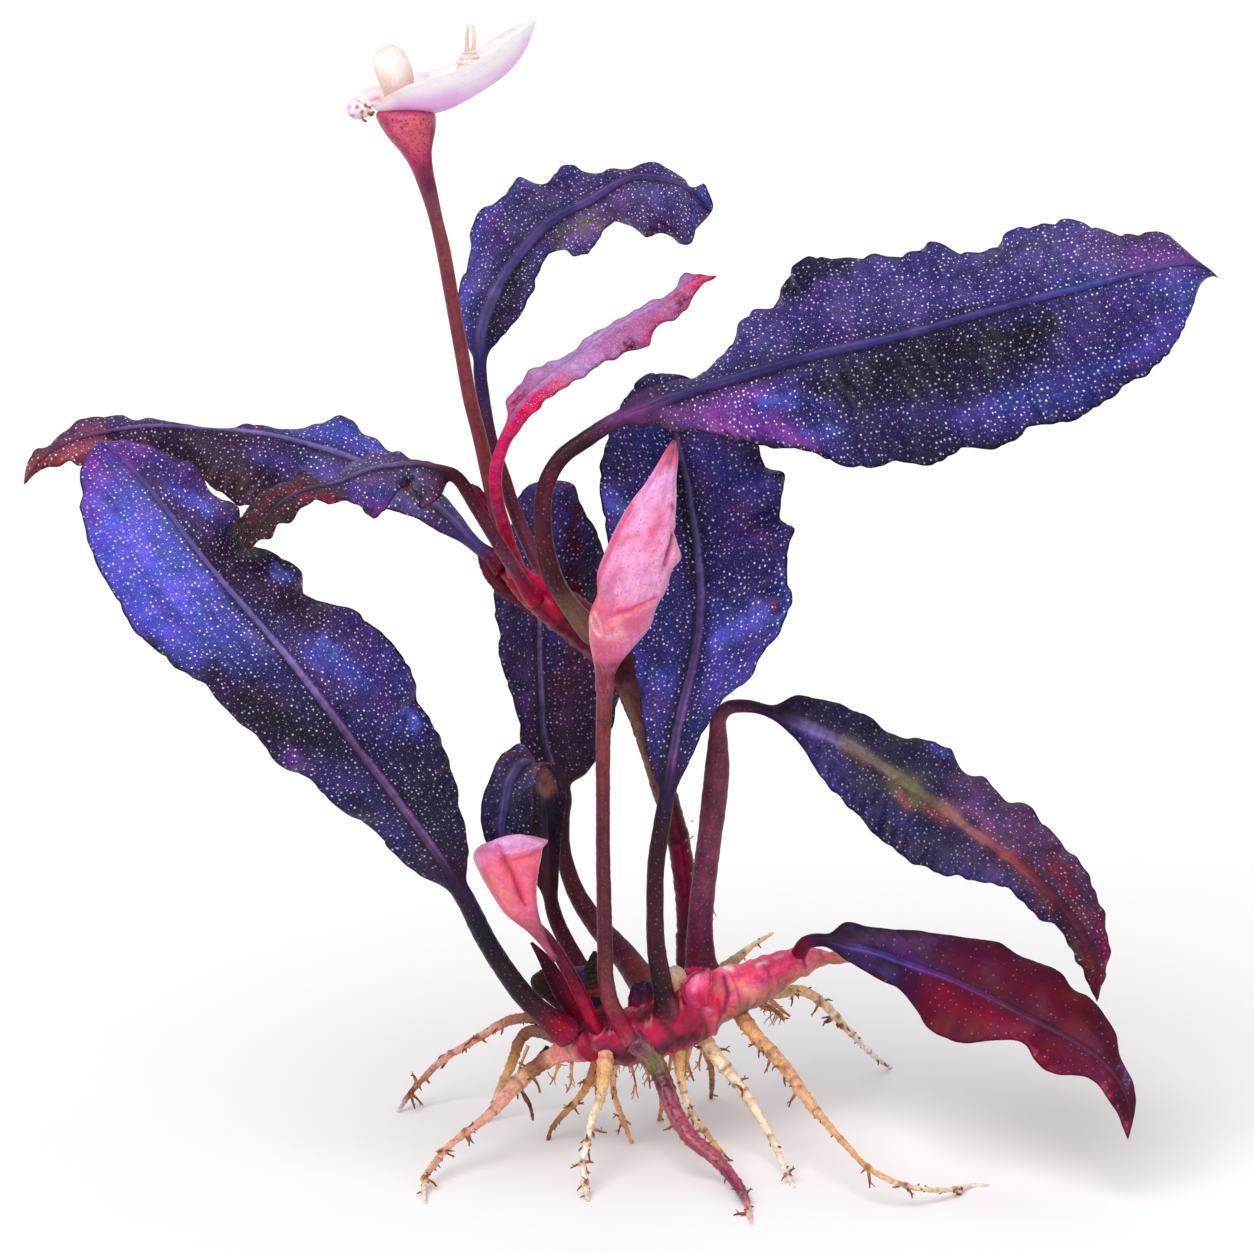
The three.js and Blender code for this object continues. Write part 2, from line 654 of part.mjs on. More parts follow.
// A boat-shaped shell between a keel and two rims, with its inside towards the rims.
function boat({ keel, near, far, depth, halfBreadth, steps }, grow = 0) {
  const [keelSeen, nearSeen, farSeen] = [outline(keel), outline(near), outline(far)];
  const breadth = (s) => halfBreadth * Math.sqrt(Math.sin(Math.PI * s));
  const ends = [0.02, 0.98];
  const endThinness = 0.35;
  const thickening = 3;
  const rings = [];
  for (let i = 0; i <= steps; i += 1) {
    const s = THREE.MathUtils.lerp(ends[0], ends[1], i / steps);
    const k = seenAtDepth(keelSeen.at(s), depth);
    const a = seenAtDepth(nearSeen.at(s), depth - breadth(s));
    const b = seenAtDepth(farSeen.at(s), depth + breadth(s));
    const inward = a.clone().lerp(b, 0.5).sub(k).normalize();
    const sides = [a, b].map((rim) => k.clone().lerp(rim, 0.5).addScaledVector(inward, -SPATHE_BULGE));
    const thick = SPATHE_THICKNESS * Math.min(1, endThinness + thickening * Math.min(s, 1 - s)) + grow;
    const inner = (point) => point.clone().addScaledVector(inward, thick);
    const outer = (point) => point.clone().addScaledVector(inward, -grow);
    rings.push([
      b, inner(sides[1]), inner(k), inner(sides[0]),
      a, outer(sides[0]), outer(k), outer(sides[1]),
    ]);
  }
  const [start, end] = [ends[0], 1].map((s) => seenAtDepth(keelSeen.at(s), depth));
  return loft(rings, start, end);
}
place('flower_open_spathe', 'spathe_white', (grow) => boat(OPEN_SPATHE, grow), ['flower_open_stalk']);

const SPADIX = {
  left: [[388, 110], [384, 95], [380, 84], [375, 72], [373, 60], [378, 50], [387, 45]],
  right: [[408, 110], [411, 95], [414, 82], [412, 68], [407, 57], [401, 49], [393, 45]],
  depths: [-4, -4],
  steps: 8,
  sides: 10,
};
place('flower_open_spadix', 'spadix_cream', (grow) => pod(SPADIX, grow), [
  'flower_open_stalk', 'flower_open_spathe',
]);

// The cone of beads beside the spadix, with its two horns
const BEAD_CONE = {
  left: [[459, 103], [457, 85], [457, 70], [460, 58], [466, 50]],
  right: [[481, 98], [482, 80], [481, 66], [478, 55], [474, 50]],
  depths: [-4, -4],
  fullness: 0.8,
  steps: 7,
  sides: 8,
};
const HORN = { radii: [0.45, 0.35, 0.2], sides: HORN_SIDES };
const HORNS = [
  { ...HORN, line: [[467, 58], [467, 45], [467, 35], [468, 25]], depths: [-4, -5] },
  { ...HORN, line: [[472, 57], [474, 45], [474, 35], [473, 25]], depths: [-4, -3] },
];
place('flower_open_cone', 'spadix_cream',
  (grow) => joined(pod(BEAD_CONE, grow), ...HORNS.map((horn) => stem(horn, grow))),
  ['flower_open_spathe']);

const KNOB = {
  left: [[376, 118], [364, 119], [353, 119], [347, 113], [348, 104], [353, 100]],
  right: [[374, 108], [368, 106], [364, 104], [362, 102], [359, 100], [356, 99]],
  depths: [-5, -6],
  steps: 6,
  sides: 8,
};
place('flower_open_knob', 'spathe_pink', (grow) => pod(KNOB, grow), [
  'flower_open_spathe', 'flower_open_stalk',
]);

// The large bud and the small one, each on its stalk
const LARGE_BUD_STALK = {
  line: [
    [632, 1046], [622, 1026], [611, 1004], [606, 982], [605, 950], [604, 900], [603, 850], [603, 800],
    [603, 750], [604, 710], [605, 668],
  ],
  depths: [-5, -8, -9, -10, -10.5, -11, -12],
  radii: [1.2, 1.05, 0.95, 0.9, 0.85, 0.85, 0.9, 1.1],
};
const LARGE_BUD = {
  left: [
    [602, 668], [592, 655], [589, 637], [590, 615], [595, 590], [600, 565], [608, 545], [618, 523],
    [632, 500], [646, 482], [657, 465], [666, 450], [673, 440],
  ],
  right: [
    [609, 667], [622, 660], [634, 646], [648, 630], [659, 612], [666, 590], [671, 570], [680, 557],
    [676, 542], [675, 520], [676, 498], [676, 478], [678, 455], [676, 441],
  ],
  depths: [-12, -13, -13, -12, -11],
  fullness: 0.85,
  steps: 12,
};
place('large_bud_stalk', 'stem_maroon', (grow) => stem(LARGE_BUD_STALK, grow), ['rhizome']);
place('large_bud', 'spathe_pink', (grow) => pod(LARGE_BUD, grow), ['large_bud_stalk']);

const SMALL_BUD_STALK = {
  line: [
    [600, 1038], [592, 1020], [584, 1002], [575, 983], [565, 965], [554, 948], [543, 934], [533, 925],
  ],
  depths: [-4, -7, -9, -10.5, -12],
  radii: [1.0, 0.9, 0.85, 0.8, 0.75],
};
const SMALL_BUD = {
  left: [
    [533, 940], [522, 932], [511, 918], [500, 903], [490, 888], [480, 870], [475, 856], [480, 847],
    [492, 846], [506, 839],
  ],
  right: [
    [541, 930], [539, 915], [537, 900], [537, 885], [539, 868], [542, 852], [541, 841], [530, 837],
    [520, 836], [509, 838],
  ],
  depths: [-12, -13.5, -14.5, -14.5],
  fullness: 0.8,
  steps: 10,
};
const SMALL_BUD_BRACT = {
  left: [[578, 1030], [566, 1014], [556, 1000], [547, 982], [539, 962], [530, 943]],
  right: [[590, 1024], [581, 1006], [571, 988], [561, 972], [550, 957], [533, 942]],
  depths: [-3, -4, -5],
  fullness: 0.35,
  steps: 7,
  sides: 8,
};
place('small_bud_stalk', 'stem_crimson', (grow) => stem(SMALL_BUD_STALK, grow), ['rhizome']);
place('small_bud', 'spathe_pink', (grow) => pod(SMALL_BUD, grow), ['small_bud_stalk']);
place('small_bud_bract', 'leaf_dark', (grow) => pod(SMALL_BUD_BRACT, grow), [
  'rhizome', 'small_bud_stalk', 'leaf_left_big',
]);

// Scales, stubs of lost leaves and the crimson bract and bud of the crown
const SCALES = {
  crown_bract: {
    finish: 'stem_crimson',
    left: [[536, 617], [512, 602], [498, 592], [486, 578], [479, 560], [478, 547]],
    right: [[540, 602], [525, 590], [512, 577], [502, 565], [492, 553], [481, 545]],
    depths: [-1, 0, 0],
    fullness: 0.4,
    on: ['rising_shoot', 'leaf_left_far', 'leaf_left_withered', 'flower_open_stalk'],
  },
  crown_bud: {
    finish: 'stem_crimson',
    left: [[514, 568], [500, 542], [485, 518], [472, 501], [465, 491], [467, 484]],
    right: [[524, 562], [512, 536], [500, 512], [488, 498], [479, 488], [472, 484]],
    depths: [1, 2.6, 2.6],
    fullness: 0.7,
    on: ['rising_shoot', 'leaf_left_far', 'flower_open_stalk', 'leaf_top', 'leaf_young_pink'],
  },
  stub_left: {
    finish: 'stub_brown',
    left: [[582, 1036], [560, 1012], [545, 1000], [533, 990], [531, 980], [536, 973], [543, 971]],
    right: [[592, 1026], [575, 1005], [564, 992], [556, 982], [554, 975], [550, 971], [546, 970]],
    depths: [-2, 0, 1],
    fullness: 0.8,
    on: ['rhizome', 'small_bud_bract', 'small_bud_stalk', 'leaf_left_big'],
  },
  stub_middle: {
    finish: 'leaf_dark',
    left: [[592, 1034], [581, 1014], [573, 996], [568, 980], [570, 970], [578, 967]],
    right: [[612, 1030], [608, 1008], [606, 992], [604, 979], [598, 970], [588, 966]],
    depths: [-2, 0, 1],
    fullness: 0.5,
    on: ['rhizome', 'small_bud_bract', 'small_bud_stalk', 'leaf_curled_small', 'stub_left'],
  },
  stub_right: {
    finish: 'leaf_dark',
    left: [[634, 1022], [628, 1008], [629, 996], [632, 987], [639, 983]],
    right: [[660, 1020], [660, 1006], [659, 994], [655, 985], [647, 982]],
    depths: [-1, 1, 2],
    fullness: 0.6,
    on: ['rhizome', 'leaf_back_dark', 'leaf_centre'],
  },
  stub_pale: {
    finish: 'root_pale',
    left: [[676, 1004], [668, 992], [664, 982], [665, 972], [671, 967]],
    right: [[694, 1002], [690, 990], [688, 980], [684, 971], [677, 966]],
    depths: [-1, -1, 0],
    fullness: 0.8,
    on: ['rhizome', 'leaf_centre', 'rising_shoot', 'leaf_right_drooping'],
  },
  scale_brown: {
    finish: 'stub_brown',
    left: [[588, 996], [587, 982], [585, 970], [589, 960], [594, 951]],
    right: [[602, 996], [600, 982], [599, 970], [598, 960], [596, 951]],
    depths: [-3, -3, -2],
    fullness: 0.4,
    on: ['rhizome', 'stub_middle', 'leaf_curled_small', 'small_bud_stalk'],
  },
  scale_pink: {
    finish: 'rhizome_pink',
    left: [[694, 1012], [684, 998], [681, 985], [684, 973], [694, 968]],
    right: [[716, 1006], [715, 992], [712, 980], [707, 970], [699, 966]],
    depths: [-4, -3, -1.5],
    fullness: 0.35,
    on: ['rhizome', 'leaf_right_drooping', 'stub_pale', 'rising_shoot'],
  },
};
for (const [name, scale] of Object.entries(SCALES)) {
  place(name, scale.finish, (grow) => pod({ ...scale, steps: 6, sides: 8 }, grow), scale.on);
}

// The roots. line runs from the rhizome to the tip. A root with fall comes down to the floor, the
// quicker at first the larger that number is, and the others end free at the depth to.
const ROOTS = {
  root_left_high: {
    finish: 'root_pale',
    line: [
      [570, 1036], [545, 1020], [515, 1019], [500, 1025], [480, 1037], [460, 1049], [440, 1062],
      [425, 1077], [412, 1091], [405, 1101], [398, 1112],
    ],
    from: -2,
    fall: 0.9,
    radii: [1.0, 0.9, 0.75, 0.65, 0.55, 0.5, 0.5, 0.35, 0.25],
  },
  root_left_thick: {
    finish: 'root_pale',
    line: [
      [592, 1046], [570, 1049], [548, 1059], [530, 1072], [512, 1089], [495, 1109], [478, 1124],
      [460, 1137], [445, 1150], [435, 1163], [425, 1178], [424, 1191], [425, 1204],
    ],
    from: -6,
    fall: 1.1,
    passes: ['root_left_high'],
    radii: [1.9, 1.8, 1.3, 1.1, 1.1, 1.0, 0.75, 0.6, 0.5, 0.45, 0.5, 0.4, 0.3],
  },
  root_left_short: {
    finish: 'root_pale',
    line: [
      [562, 1040], [545, 1034], [530, 1031], [519, 1042], [514, 1057], [508, 1072], [500, 1088],
      [492, 1108], [487, 1122],
    ],
    from: -1,
    fall: 1.0,
    passes: ['root_left_high', 'root_left_thick'],
    radii: [0.8, 0.8, 0.85, 0.8, 0.75, 0.65, 0.5, 0.4, 0.3],
  },
  root_left_thin: {
    finish: 'stub_brown',
    line: [[548, 1048], [535, 1062], [520, 1085], [524, 1095], [530, 1106], [533, 1120]],
    from: -1,
    to: 2,
    passes: ['root_left_thick', 'root_left_short'],
    radii: [0.4, 0.35, 0.35, 0.3, 0.2],
  },
  root_middle_tan: {
    finish: 'root_pale',
    line: [
      [602, 1052], [594, 1068], [590, 1080], [582, 1094], [571, 1107], [559, 1119], [551, 1130],
      [548, 1140],
    ],
    from: -2,
    fall: 1,
    radii: [0.75, 0.7, 0.6, 0.5, 0.45, 0.35, 0.25],
  },
  root_middle_pale: {
    finish: 'root_pale',
    line: [
      [606, 1050], [605, 1065], [603, 1082], [600, 1100], [592, 1120], [587, 1142], [583, 1163],
      [585, 1184], [588, 1202],
    ],
    from: -5,
    fall: 1.1,
    radii: [1.2, 1.1, 0.8, 0.6, 0.5, 0.45, 0.4, 0.4, 0.3],
  },
  root_middle_thin: {
    finish: 'root_pale',
    line: [[617, 1052], [613, 1080], [615, 1098], [621, 1114], [626, 1128], [632, 1143]],
    from: -3,
    fall: 1,
    radii: [0.6, 0.5, 0.4, 0.4, 0.35, 0.25],
  },
  root_maroon: {
    finish: 'root_maroon',
    line: [
      [632, 1040], [644, 1050], [655, 1064], [663, 1080], [670, 1100], [678, 1119], [692, 1139],
      [714, 1157], [730, 1175], [742, 1192], [748, 1208], [752, 1226],
    ],
    from: -6,
    fall: 1.5,
    passes: ['large_bud_stalk'],
    radii: [1.5, 1.5, 1.35, 1.25, 1.2, 1.2, 1.1, 1.0, 0.85, 0.75, 0.45, 0.3],
  },
  root_pale_behind: {
    finish: 'root_pale',
    line: [[678, 1040], [679, 1060], [681, 1080], [689, 1108], [704, 1130], [717, 1147], [726, 1161]],
    from: -1,
    fall: 1,
    radii: [0.9, 0.8, 0.55, 0.45, 0.4, 0.35, 0.25],
  },
  root_thin_behind: {
    finish: 'root_pale',
    line: [[648, 1052], [655, 1070], [660, 1088], [662, 1104], [659, 1120]],
    from: -1,
    fall: 1,
    radii: [0.5, 0.45, 0.4, 0.35, 0.25],
  },
  root_right_near: {
    finish: 'root_pale',
    line: [
      [698, 1025], [705, 1040], [719, 1060], [735, 1080], [749, 1100], [762, 1121], [775, 1145],
      [785, 1169], [794, 1188],
    ],
    from: 1,
    fall: 1.1,
    radii: [1.1, 1.05, 0.95, 0.8, 0.7, 0.55, 0.5, 0.4, 0.25],
  },
  root_right_small: {
    finish: 'root_pale',
    line: [[690, 1030], [702, 1046], [710, 1064], [712, 1080], [711, 1098]],
    from: 3,
    fall: 1,
    radii: [0.6, 0.55, 0.45, 0.4, 0.25],
  },
  root_right_long: {
    finish: 'root_pale',
    line: [
      [728, 1000], [741, 1016], [755, 1035], [774, 1055], [790, 1074], [803, 1094], [822, 1118],
      [845, 1144], [867, 1167], [890, 1180], [915, 1188], [950, 1190], [972, 1185], [988, 1186],
    ],
    from: 4,
    fall: 1.3,
    radii: [1.1, 1.1, 1.0, 0.95, 0.85, 0.8, 0.55, 0.45, 0.4, 0.4, 0.35, 0.35, 0.3, 0.25],
  },
  root_right_far: {
    finish: 'root_pale',
    line: [
      [760, 988], [778, 993], [795, 990], [810, 994], [825, 1005], [838, 1019], [850, 1032], [862, 1044],
      [875, 1057], [891, 1068],
    ],
    from: 9,
    fall: 0.9,
    radii: [0.9, 0.85, 0.75, 0.7, 0.65, 0.6, 0.5, 0.45, 0.35, 0.25],
  },
  root_right_up: {
    finish: 'root_pale',
    line: [[712, 982], [724, 968], [736, 959], [748, 949], [761, 940], [773, 933]],
    from: 6,
    to: 14,
    radii: [0.9, 0.8, 0.7, 0.5, 0.35, 0.2],
  },
  root_right_bunch: {
    finish: 'root_pale',
    line: [[748, 992], [761, 1004], [774, 1010], [784, 1020]],
    from: 7,
    to: 12,
    radii: [0.6, 0.6, 0.4, 0.2],
  },
};

// The path of a root, from its start in the rhizome.
function rootPath({ line, from, fall, to }) {
  const seen = outline(line);
  const startHeight = seenAtDepth(line[0], from).z;
  return (t) => (fall === undefined
    ? seenAtDepth(seen.at(t), THREE.MathUtils.lerp(from, to, t))
    : seenAtHeight(seen.at(t), startHeight * (1 - t) ** fall));
}
for (const [name, root] of Object.entries(ROOTS)) {
  const shape = (grow) => tube(rootPath(root), root.radii, ROOT_SIDES, grow);
  place(name, root.finish, shape, ['rhizome', 'floor', ...(root.passes ?? [])]);
}

plant.position.set(-ORIGIN_SHIFT.x, -ORIGIN_SHIFT.y, 0);
export default plant;
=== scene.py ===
# %% [markdown]
# # A bucephalandra
# A small aquarium plant that creeps over stones. From a thick pink rhizome grow wiry roots and a crimson
# shoot, and the shoot carries long wavy leaves that are speckled with pale dots, one open flower and two
# buds. The plant is unpotted here and stands on the ends of its own roots. The simple solids of the plant
# are loaded first. Each one is then covered by a finer surface that is worked out from the same outlines,
# so every piece keeps its place and size.

# %% The plant's solids
import json
import math
import re

import bpy
import numpy as np
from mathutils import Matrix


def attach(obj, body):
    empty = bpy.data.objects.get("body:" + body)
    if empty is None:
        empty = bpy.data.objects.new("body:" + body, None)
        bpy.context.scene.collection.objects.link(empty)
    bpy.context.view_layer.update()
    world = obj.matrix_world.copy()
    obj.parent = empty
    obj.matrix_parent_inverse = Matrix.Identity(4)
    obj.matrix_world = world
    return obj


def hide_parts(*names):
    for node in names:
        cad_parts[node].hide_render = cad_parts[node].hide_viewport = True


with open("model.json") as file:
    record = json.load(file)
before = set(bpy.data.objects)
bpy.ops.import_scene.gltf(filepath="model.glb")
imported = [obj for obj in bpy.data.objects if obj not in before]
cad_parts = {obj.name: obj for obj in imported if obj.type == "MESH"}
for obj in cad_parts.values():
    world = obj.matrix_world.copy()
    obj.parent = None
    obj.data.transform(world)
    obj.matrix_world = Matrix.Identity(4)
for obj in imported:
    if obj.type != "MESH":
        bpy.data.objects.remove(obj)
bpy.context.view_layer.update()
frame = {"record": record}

# %% [markdown]
# ## Where the viewer stands
# All outlines below are given as they are seen by one viewer, as columns and rows of a square picture, in
# texts of the form "column,row column,row". A sight line leads from the eye through each of these points,
# and the depth says where on that line the point of the plant lies. The camera stands in the same place,
# so the render shows the outlines where they were drawn. The viewer looks down at the plant by 15
# degrees, from 80 cm away.

# %% The viewer and the camera
MM = 0.001
PICTURE_SIDE = 1254
PICTURE_MIDDLE = PICTURE_SIDE / 2
MM_PER_PIXEL = 144 / 1198
DISTANCE = 800.0
TILT = math.radians(15)
AIM_HEIGHT = 66.5
SHIFT = np.array([2.04, -1.57, 0.0])
SENSOR = 36.0
FARTHEST = 50

COS, SIN = math.cos(TILT), math.sin(TILT)
EYE = np.array([0.0, -DISTANCE * COS, AIM_HEIGHT + DISTANCE * SIN])
FORWARD = np.array([0.0, COS, -SIN])
UPWARD = np.array([0.0, SIN, COS])


def sight_lines(pixels):
    """The direction from the eye through each pixel, scaled so that its forward part is the distance."""
    pixels = np.asarray(pixels, float)
    across = (pixels[..., 0:1] - PICTURE_MIDDLE) * MM_PER_PIXEL
    up = (PICTURE_MIDDLE - pixels[..., 1:2]) * MM_PER_PIXEL
    return DISTANCE * FORWARD + across * np.array([1.0, 0, 0]) + up * UPWARD


def at_depth(pixels, depth):
    """The points of the sight lines whose y is the given depth, in mm."""
    lines = sight_lines(pixels)
    return EYE + lines * ((depth - EYE[1]) / lines[..., 1])[..., None]


def at_height(pixels, height):
    """The points of the sight lines that lie at the given height above the floor, in mm."""
    lines = sight_lines(pixels)
    return EYE + lines * ((height - EYE[2]) / lines[..., 2])[..., None]


def seen_at(points):
    """The column and row at which each point is seen: the inverse of the sight lines."""
    away = points - EYE
    reach = away @ FORWARD / DISTANCE
    column = PICTURE_MIDDLE + away[..., 0] / reach / MM_PER_PIXEL
    row = PICTURE_MIDDLE - (away @ UPWARD) / reach / MM_PER_PIXEL
    return np.stack([column, row], -1)


camera_data = bpy.data.cameras.new("viewer")
camera_data.sensor_width = SENSOR
camera_data.lens = SENSOR * DISTANCE / (PICTURE_SIDE * MM_PER_PIXEL)
camera_data.clip_end = FARTHEST
camera = bpy.data.objects.new("viewer", camera_data)
bpy.context.collection.objects.link(camera)
camera.location = (EYE + SHIFT) * MM
camera.rotation_euler = (math.pi / 2 - TILT, 0, 0)
bpy.context.scene.camera = camera
print("lens", round(camera_data.lens, 1), "mm, eye at", [round(v, 3) for v in camera.location])

# %% [markdown]
# ## Floor and light
# A plain white floor and wide soft lamps, as for a specimen photographed on a light table. The lamps are
# broad suns, so the floor is equally bright everywhere and the shadows under the roots are faint. The
# room itself stays dim, because a bright room would lay a grey veil over the dark, satin leaves.

# %% Floor and light
FLOOR_SIDE = 8.0
FLOOR_COLOUR = (0.93, 0.92, 0.92, 1)
ROOM_GLOW = 0.38
SUNS = {
    # name: (strength, angular size, height above the horizon, turn from the viewer's direction), degrees
    "sun_key": (2.0, 45, 52, -32),
    "sun_fill": (0.6, 90, 35, 42),
    "sun_behind": (0.55, 70, 58, 160),
}

half = FLOOR_SIDE / 2
floor_mesh = bpy.data.meshes.new("floor")
floor_mesh.from_pydata(
    [(-half, -half, 0), (half, -half, 0), (half, half, 0), (-half, half, 0)], [], [(0, 1, 2, 3)]
)
floor = bpy.data.objects.new("floor", floor_mesh)
bpy.context.collection.objects.link(floor)
floor_paint = bpy.data.materials.new("white_table")
floor_paint.use_nodes = True
floor_shader = floor_paint.node_tree.nodes["Principled BSDF"]
floor_shader.inputs["Base Color"].default_value = FLOOR_COLOUR
floor_shader.inputs["Roughness"].default_value = 0.9
floor_shader.inputs["Specular IOR Level"].default_value = 0.0
floor_mesh.materials.append(floor_paint)

for name, (strength, size, height, turn) in SUNS.items():
    sun = bpy.data.lights.new(name, "SUN")
    sun.energy = strength
    sun.angle = math.radians(size)
    lamp = bpy.data.objects.new(name, sun)
    bpy.context.collection.objects.link(lamp)
    lamp.rotation_euler = (math.pi / 2 - math.radians(height), 0, math.radians(turn))

room = bpy.data.worlds.new("room")
bpy.context.scene.world = room
room.use_nodes = True
room.node_tree.nodes["Background"].inputs["Color"].default_value = (1, 1, 1, 1)
room.node_tree.nodes["Background"].inputs["Strength"].default_value = ROOM_GLOW
bpy.context.scene.view_settings.view_transform = "Standard"
print("lamps:", ", ".join(SUNS))

# %% [markdown]
# ## Curves and surfaces
# A plant has no straight edge and no flat face, so everything is worked out from a few smooth curves. An
# outline is a curve through some points of the picture. It runs through every point, and between two of
# them it is a cubic whose ends point along the neighbouring points, with steps that grow as the square
# root of their distance, so that it makes no loops. A list of depths or radii is spread evenly along it.

# %% Smooth curves
SAMPLES_PER_SPAN = 24


def points_of(line):
    """Points of the picture, from a text of pairs "column,row" with spaces between them."""
    return np.array([pair.split(",") for pair in line.split()], float)


class Outline:
    """A smooth curve through points of the picture, followed by the share t of its length."""

    def __init__(self, line):
        p = points_of(line)
        p = np.vstack([2 * p[0] - p[1], p, 2 * p[-1] - p[-2]])
        steps = np.sqrt(np.linalg.norm(np.diff(p, axis=0), axis=1))[:, None, None]
        a, b, c, d = (p[k : len(p) - 3 + k][:, None] for k in range(4))
        t0, t1, t2 = (steps[k : len(steps) - 2 + k] for k in range(3))
        leave = ((b - a) / t0 - (c - a) / (t0 + t1) + (c - b) / t1) * t1
        arrive = ((c - b) / t1 - (d - b) / (t1 + t2) + (d - c) / t2) * t1
        f = np.linspace(0, 1, SAMPLES_PER_SPAN, endpoint=False)[None, :, None]
        curve = b + leave * f + (3 * (c - b) - 2 * leave - arrive) * f**2
        curve = curve + (2 * (b - c) + leave + arrive) * f**3
        self.points = np.vstack([curve.reshape(-1, 2), p[-2]])
        lengths = np.linalg.norm(np.diff(self.points, axis=0), axis=1)
        self.shares = np.concatenate([[0], np.cumsum(lengths)]) / lengths.sum()

    def at(self, t):
        return np.stack([np.interp(t, self.shares, self.points[:, k]) for k in (0, 1)], -1)

    def share_of(self, index):
        return self.shares[SAMPLES_PER_SPAN * index]


def spread(values, t):
    """A value at the share t of a list whose entries are spread evenly, on a cubic through them."""
    v = np.asarray(values, float)
    v = np.concatenate([[2 * v[0] - v[1]], v, [2 * v[-1] - v[-2]]])
    place = np.clip(t, 0, 1) * (len(values) - 1)
    i = np.minimum(place.astype(int), len(values) - 2)
    f = place - i
    a, b, c, d = v[i], v[i + 1], v[i + 2], v[i + 3]
    return b + 0.5 * f * (c - a + f * (2 * a - 5 * b + 4 * c - d + f * (3 * (b - c) + d - a)))


def unit(vectors):
    return vectors / np.maximum(np.linalg.norm(vectors, axis=-1, keepdims=True), 1e-9)


def smooth(x, low, high):
    """Rises from 0 at low to 1 at high, with level ends: 3 x^2 - 2 x^3."""
    x = np.clip((x - low) / (high - low), 0, 1)
    return x * x * (3 - 2 * x)


def heading(path, t):
    """The direction in which a path runs."""
    return unit(path(np.minimum(t + 0.01, 1)) - path(np.maximum(t - 0.01, 0)))


def length_of(path):
    points = path(np.linspace(0, 1, 60))
    return np.linalg.norm(np.diff(points, axis=0), axis=1).sum()


def section_frame(tangent):
    """The side and front of a section: front is the viewer's direction, made square to the path."""
    towards_viewer = -FORWARD
    front = unit(towards_viewer - tangent * (tangent * towards_viewer).sum(-1, keepdims=True))
    return unit(np.cross(tangent, front)), front


def waviness(x, seed, wave=1.0):
    """An uneven wave along x that stays between -1 and 1: the mean of five sines with set random phases."""
    random = np.random.default_rng(seed)
    sines = 0.0
    for factor in (1.0, 1.7, 2.9, 4.3, 6.1):
        phase = x / wave * factor * random.uniform(0.85, 1.15) + random.random()
        sines = sines + np.sin(2 * math.pi * phase)
    return sines / 5


print("curves ready:", Outline("0,0 30,0 60,30").at(0.5))

# %% [markdown]
# ## Sheets of facts
# What was measured on the plant stands in sheets. An entry starts with its name, and an empty line ends
# it. In between are facts such as "depths = -5 -11 -18". A fact made of numbers is read as a number or as
# a list of numbers. Every other fact stays a text: a line of points, a row of tints or some marks.

# %% Reading a sheet
def read_value(text):
    """One number, a list of numbers, or the text itself."""
    words = text.split()
    if any(word.strip("-.0123456789") for word in words):
        return text
    numbers = [float(word) if "." in word else int(word) for word in words]
    return numbers[0] if len(numbers) == 1 else numbers


def read_sheet(text):
    """The entries of a sheet by their names, and the facts of each by theirs."""
    sheet = {}
    for entry in text.strip().split("\n\n"):
        name, *pairs = re.split(r"\s+(\w+) = ", entry)
        sheet[name] = dict(zip(pairs[::2], map(read_value, pairs[1::2])))
    return sheet


print("a sheet reads as", read_sheet("bud\ndepths = 1 2.5 left = 3,4 5,6"))

# %% [markdown]
# ## Closed surfaces with paint on them
# A stem, a blade or a bud is a row of rings across its path, joined into one closed surface. Three things
# are kept on each of its points for the finish: the tint that the tissue has there, the lie of the
# surface (a pair of coordinates in mm that follow the veins or the fibres, and the share of the length),
# and how strongly it is dotted. The finish stays with the tissue in this way, whatever way the leaf
# twists.

# %% Rings, closed surfaces and pieces
def colour(name):
    """A colour of the palette, as a row of three numbers from 0 to 1, as a screen shows it."""
    return np.array(PALETTE[name], float) / 255


def ramp(stops, t):
    """The tint at the share t. The stops are a text such as "0 navy, 0.4 plum": a share and a colour each."""
    stops = [stop.split() for stop in stops.split(",")]
    shares = [float(share) for share, _ in stops]
    table = np.array([colour(name) for _, name in stops])
    return np.stack([np.interp(t, shares, table[:, k]) for k in range(3)], -1)


def blend(a, b, weight):
    """a where the weight is 0, b where it is 1."""
    return a + (b - a) * weight


def nearness(seen, line, reach):
    """How near the seen points lie to a line of pixels: exp(-(distance / reach)^2)."""
    line = points_of(line)
    if len(line) == 1:
        line = np.repeat(line, 2, axis=0)
    starts, ways = line[:-1], np.diff(line, axis=0)
    offsets = seen[..., None, :] - starts
    lengths = np.maximum((ways**2).sum(-1), 1e-9)
    t = np.clip((offsets * ways).sum(-1) / lengths, 0, 1)
    distances = np.linalg.norm(offsets - t[..., None] * ways, axis=-1).min(-1)
    return np.exp(-((distances / reach) ** 2))


def marked(tint, seen, marks, mask=1.0):
    """Lays coloured marks over a tint. Each is a text "line of points: reach in pixels, colour, strength",
    and a text of several has ; between them."""
    for mark in marks.split(";") if marks else []:
        line, look = mark.split(":")
        reach, name, strength = look.split()
        weight = nearness(seen, line, float(reach)) * float(strength) * mask
        tint = blend(tint, colour(name), weight[..., None])
    return tint


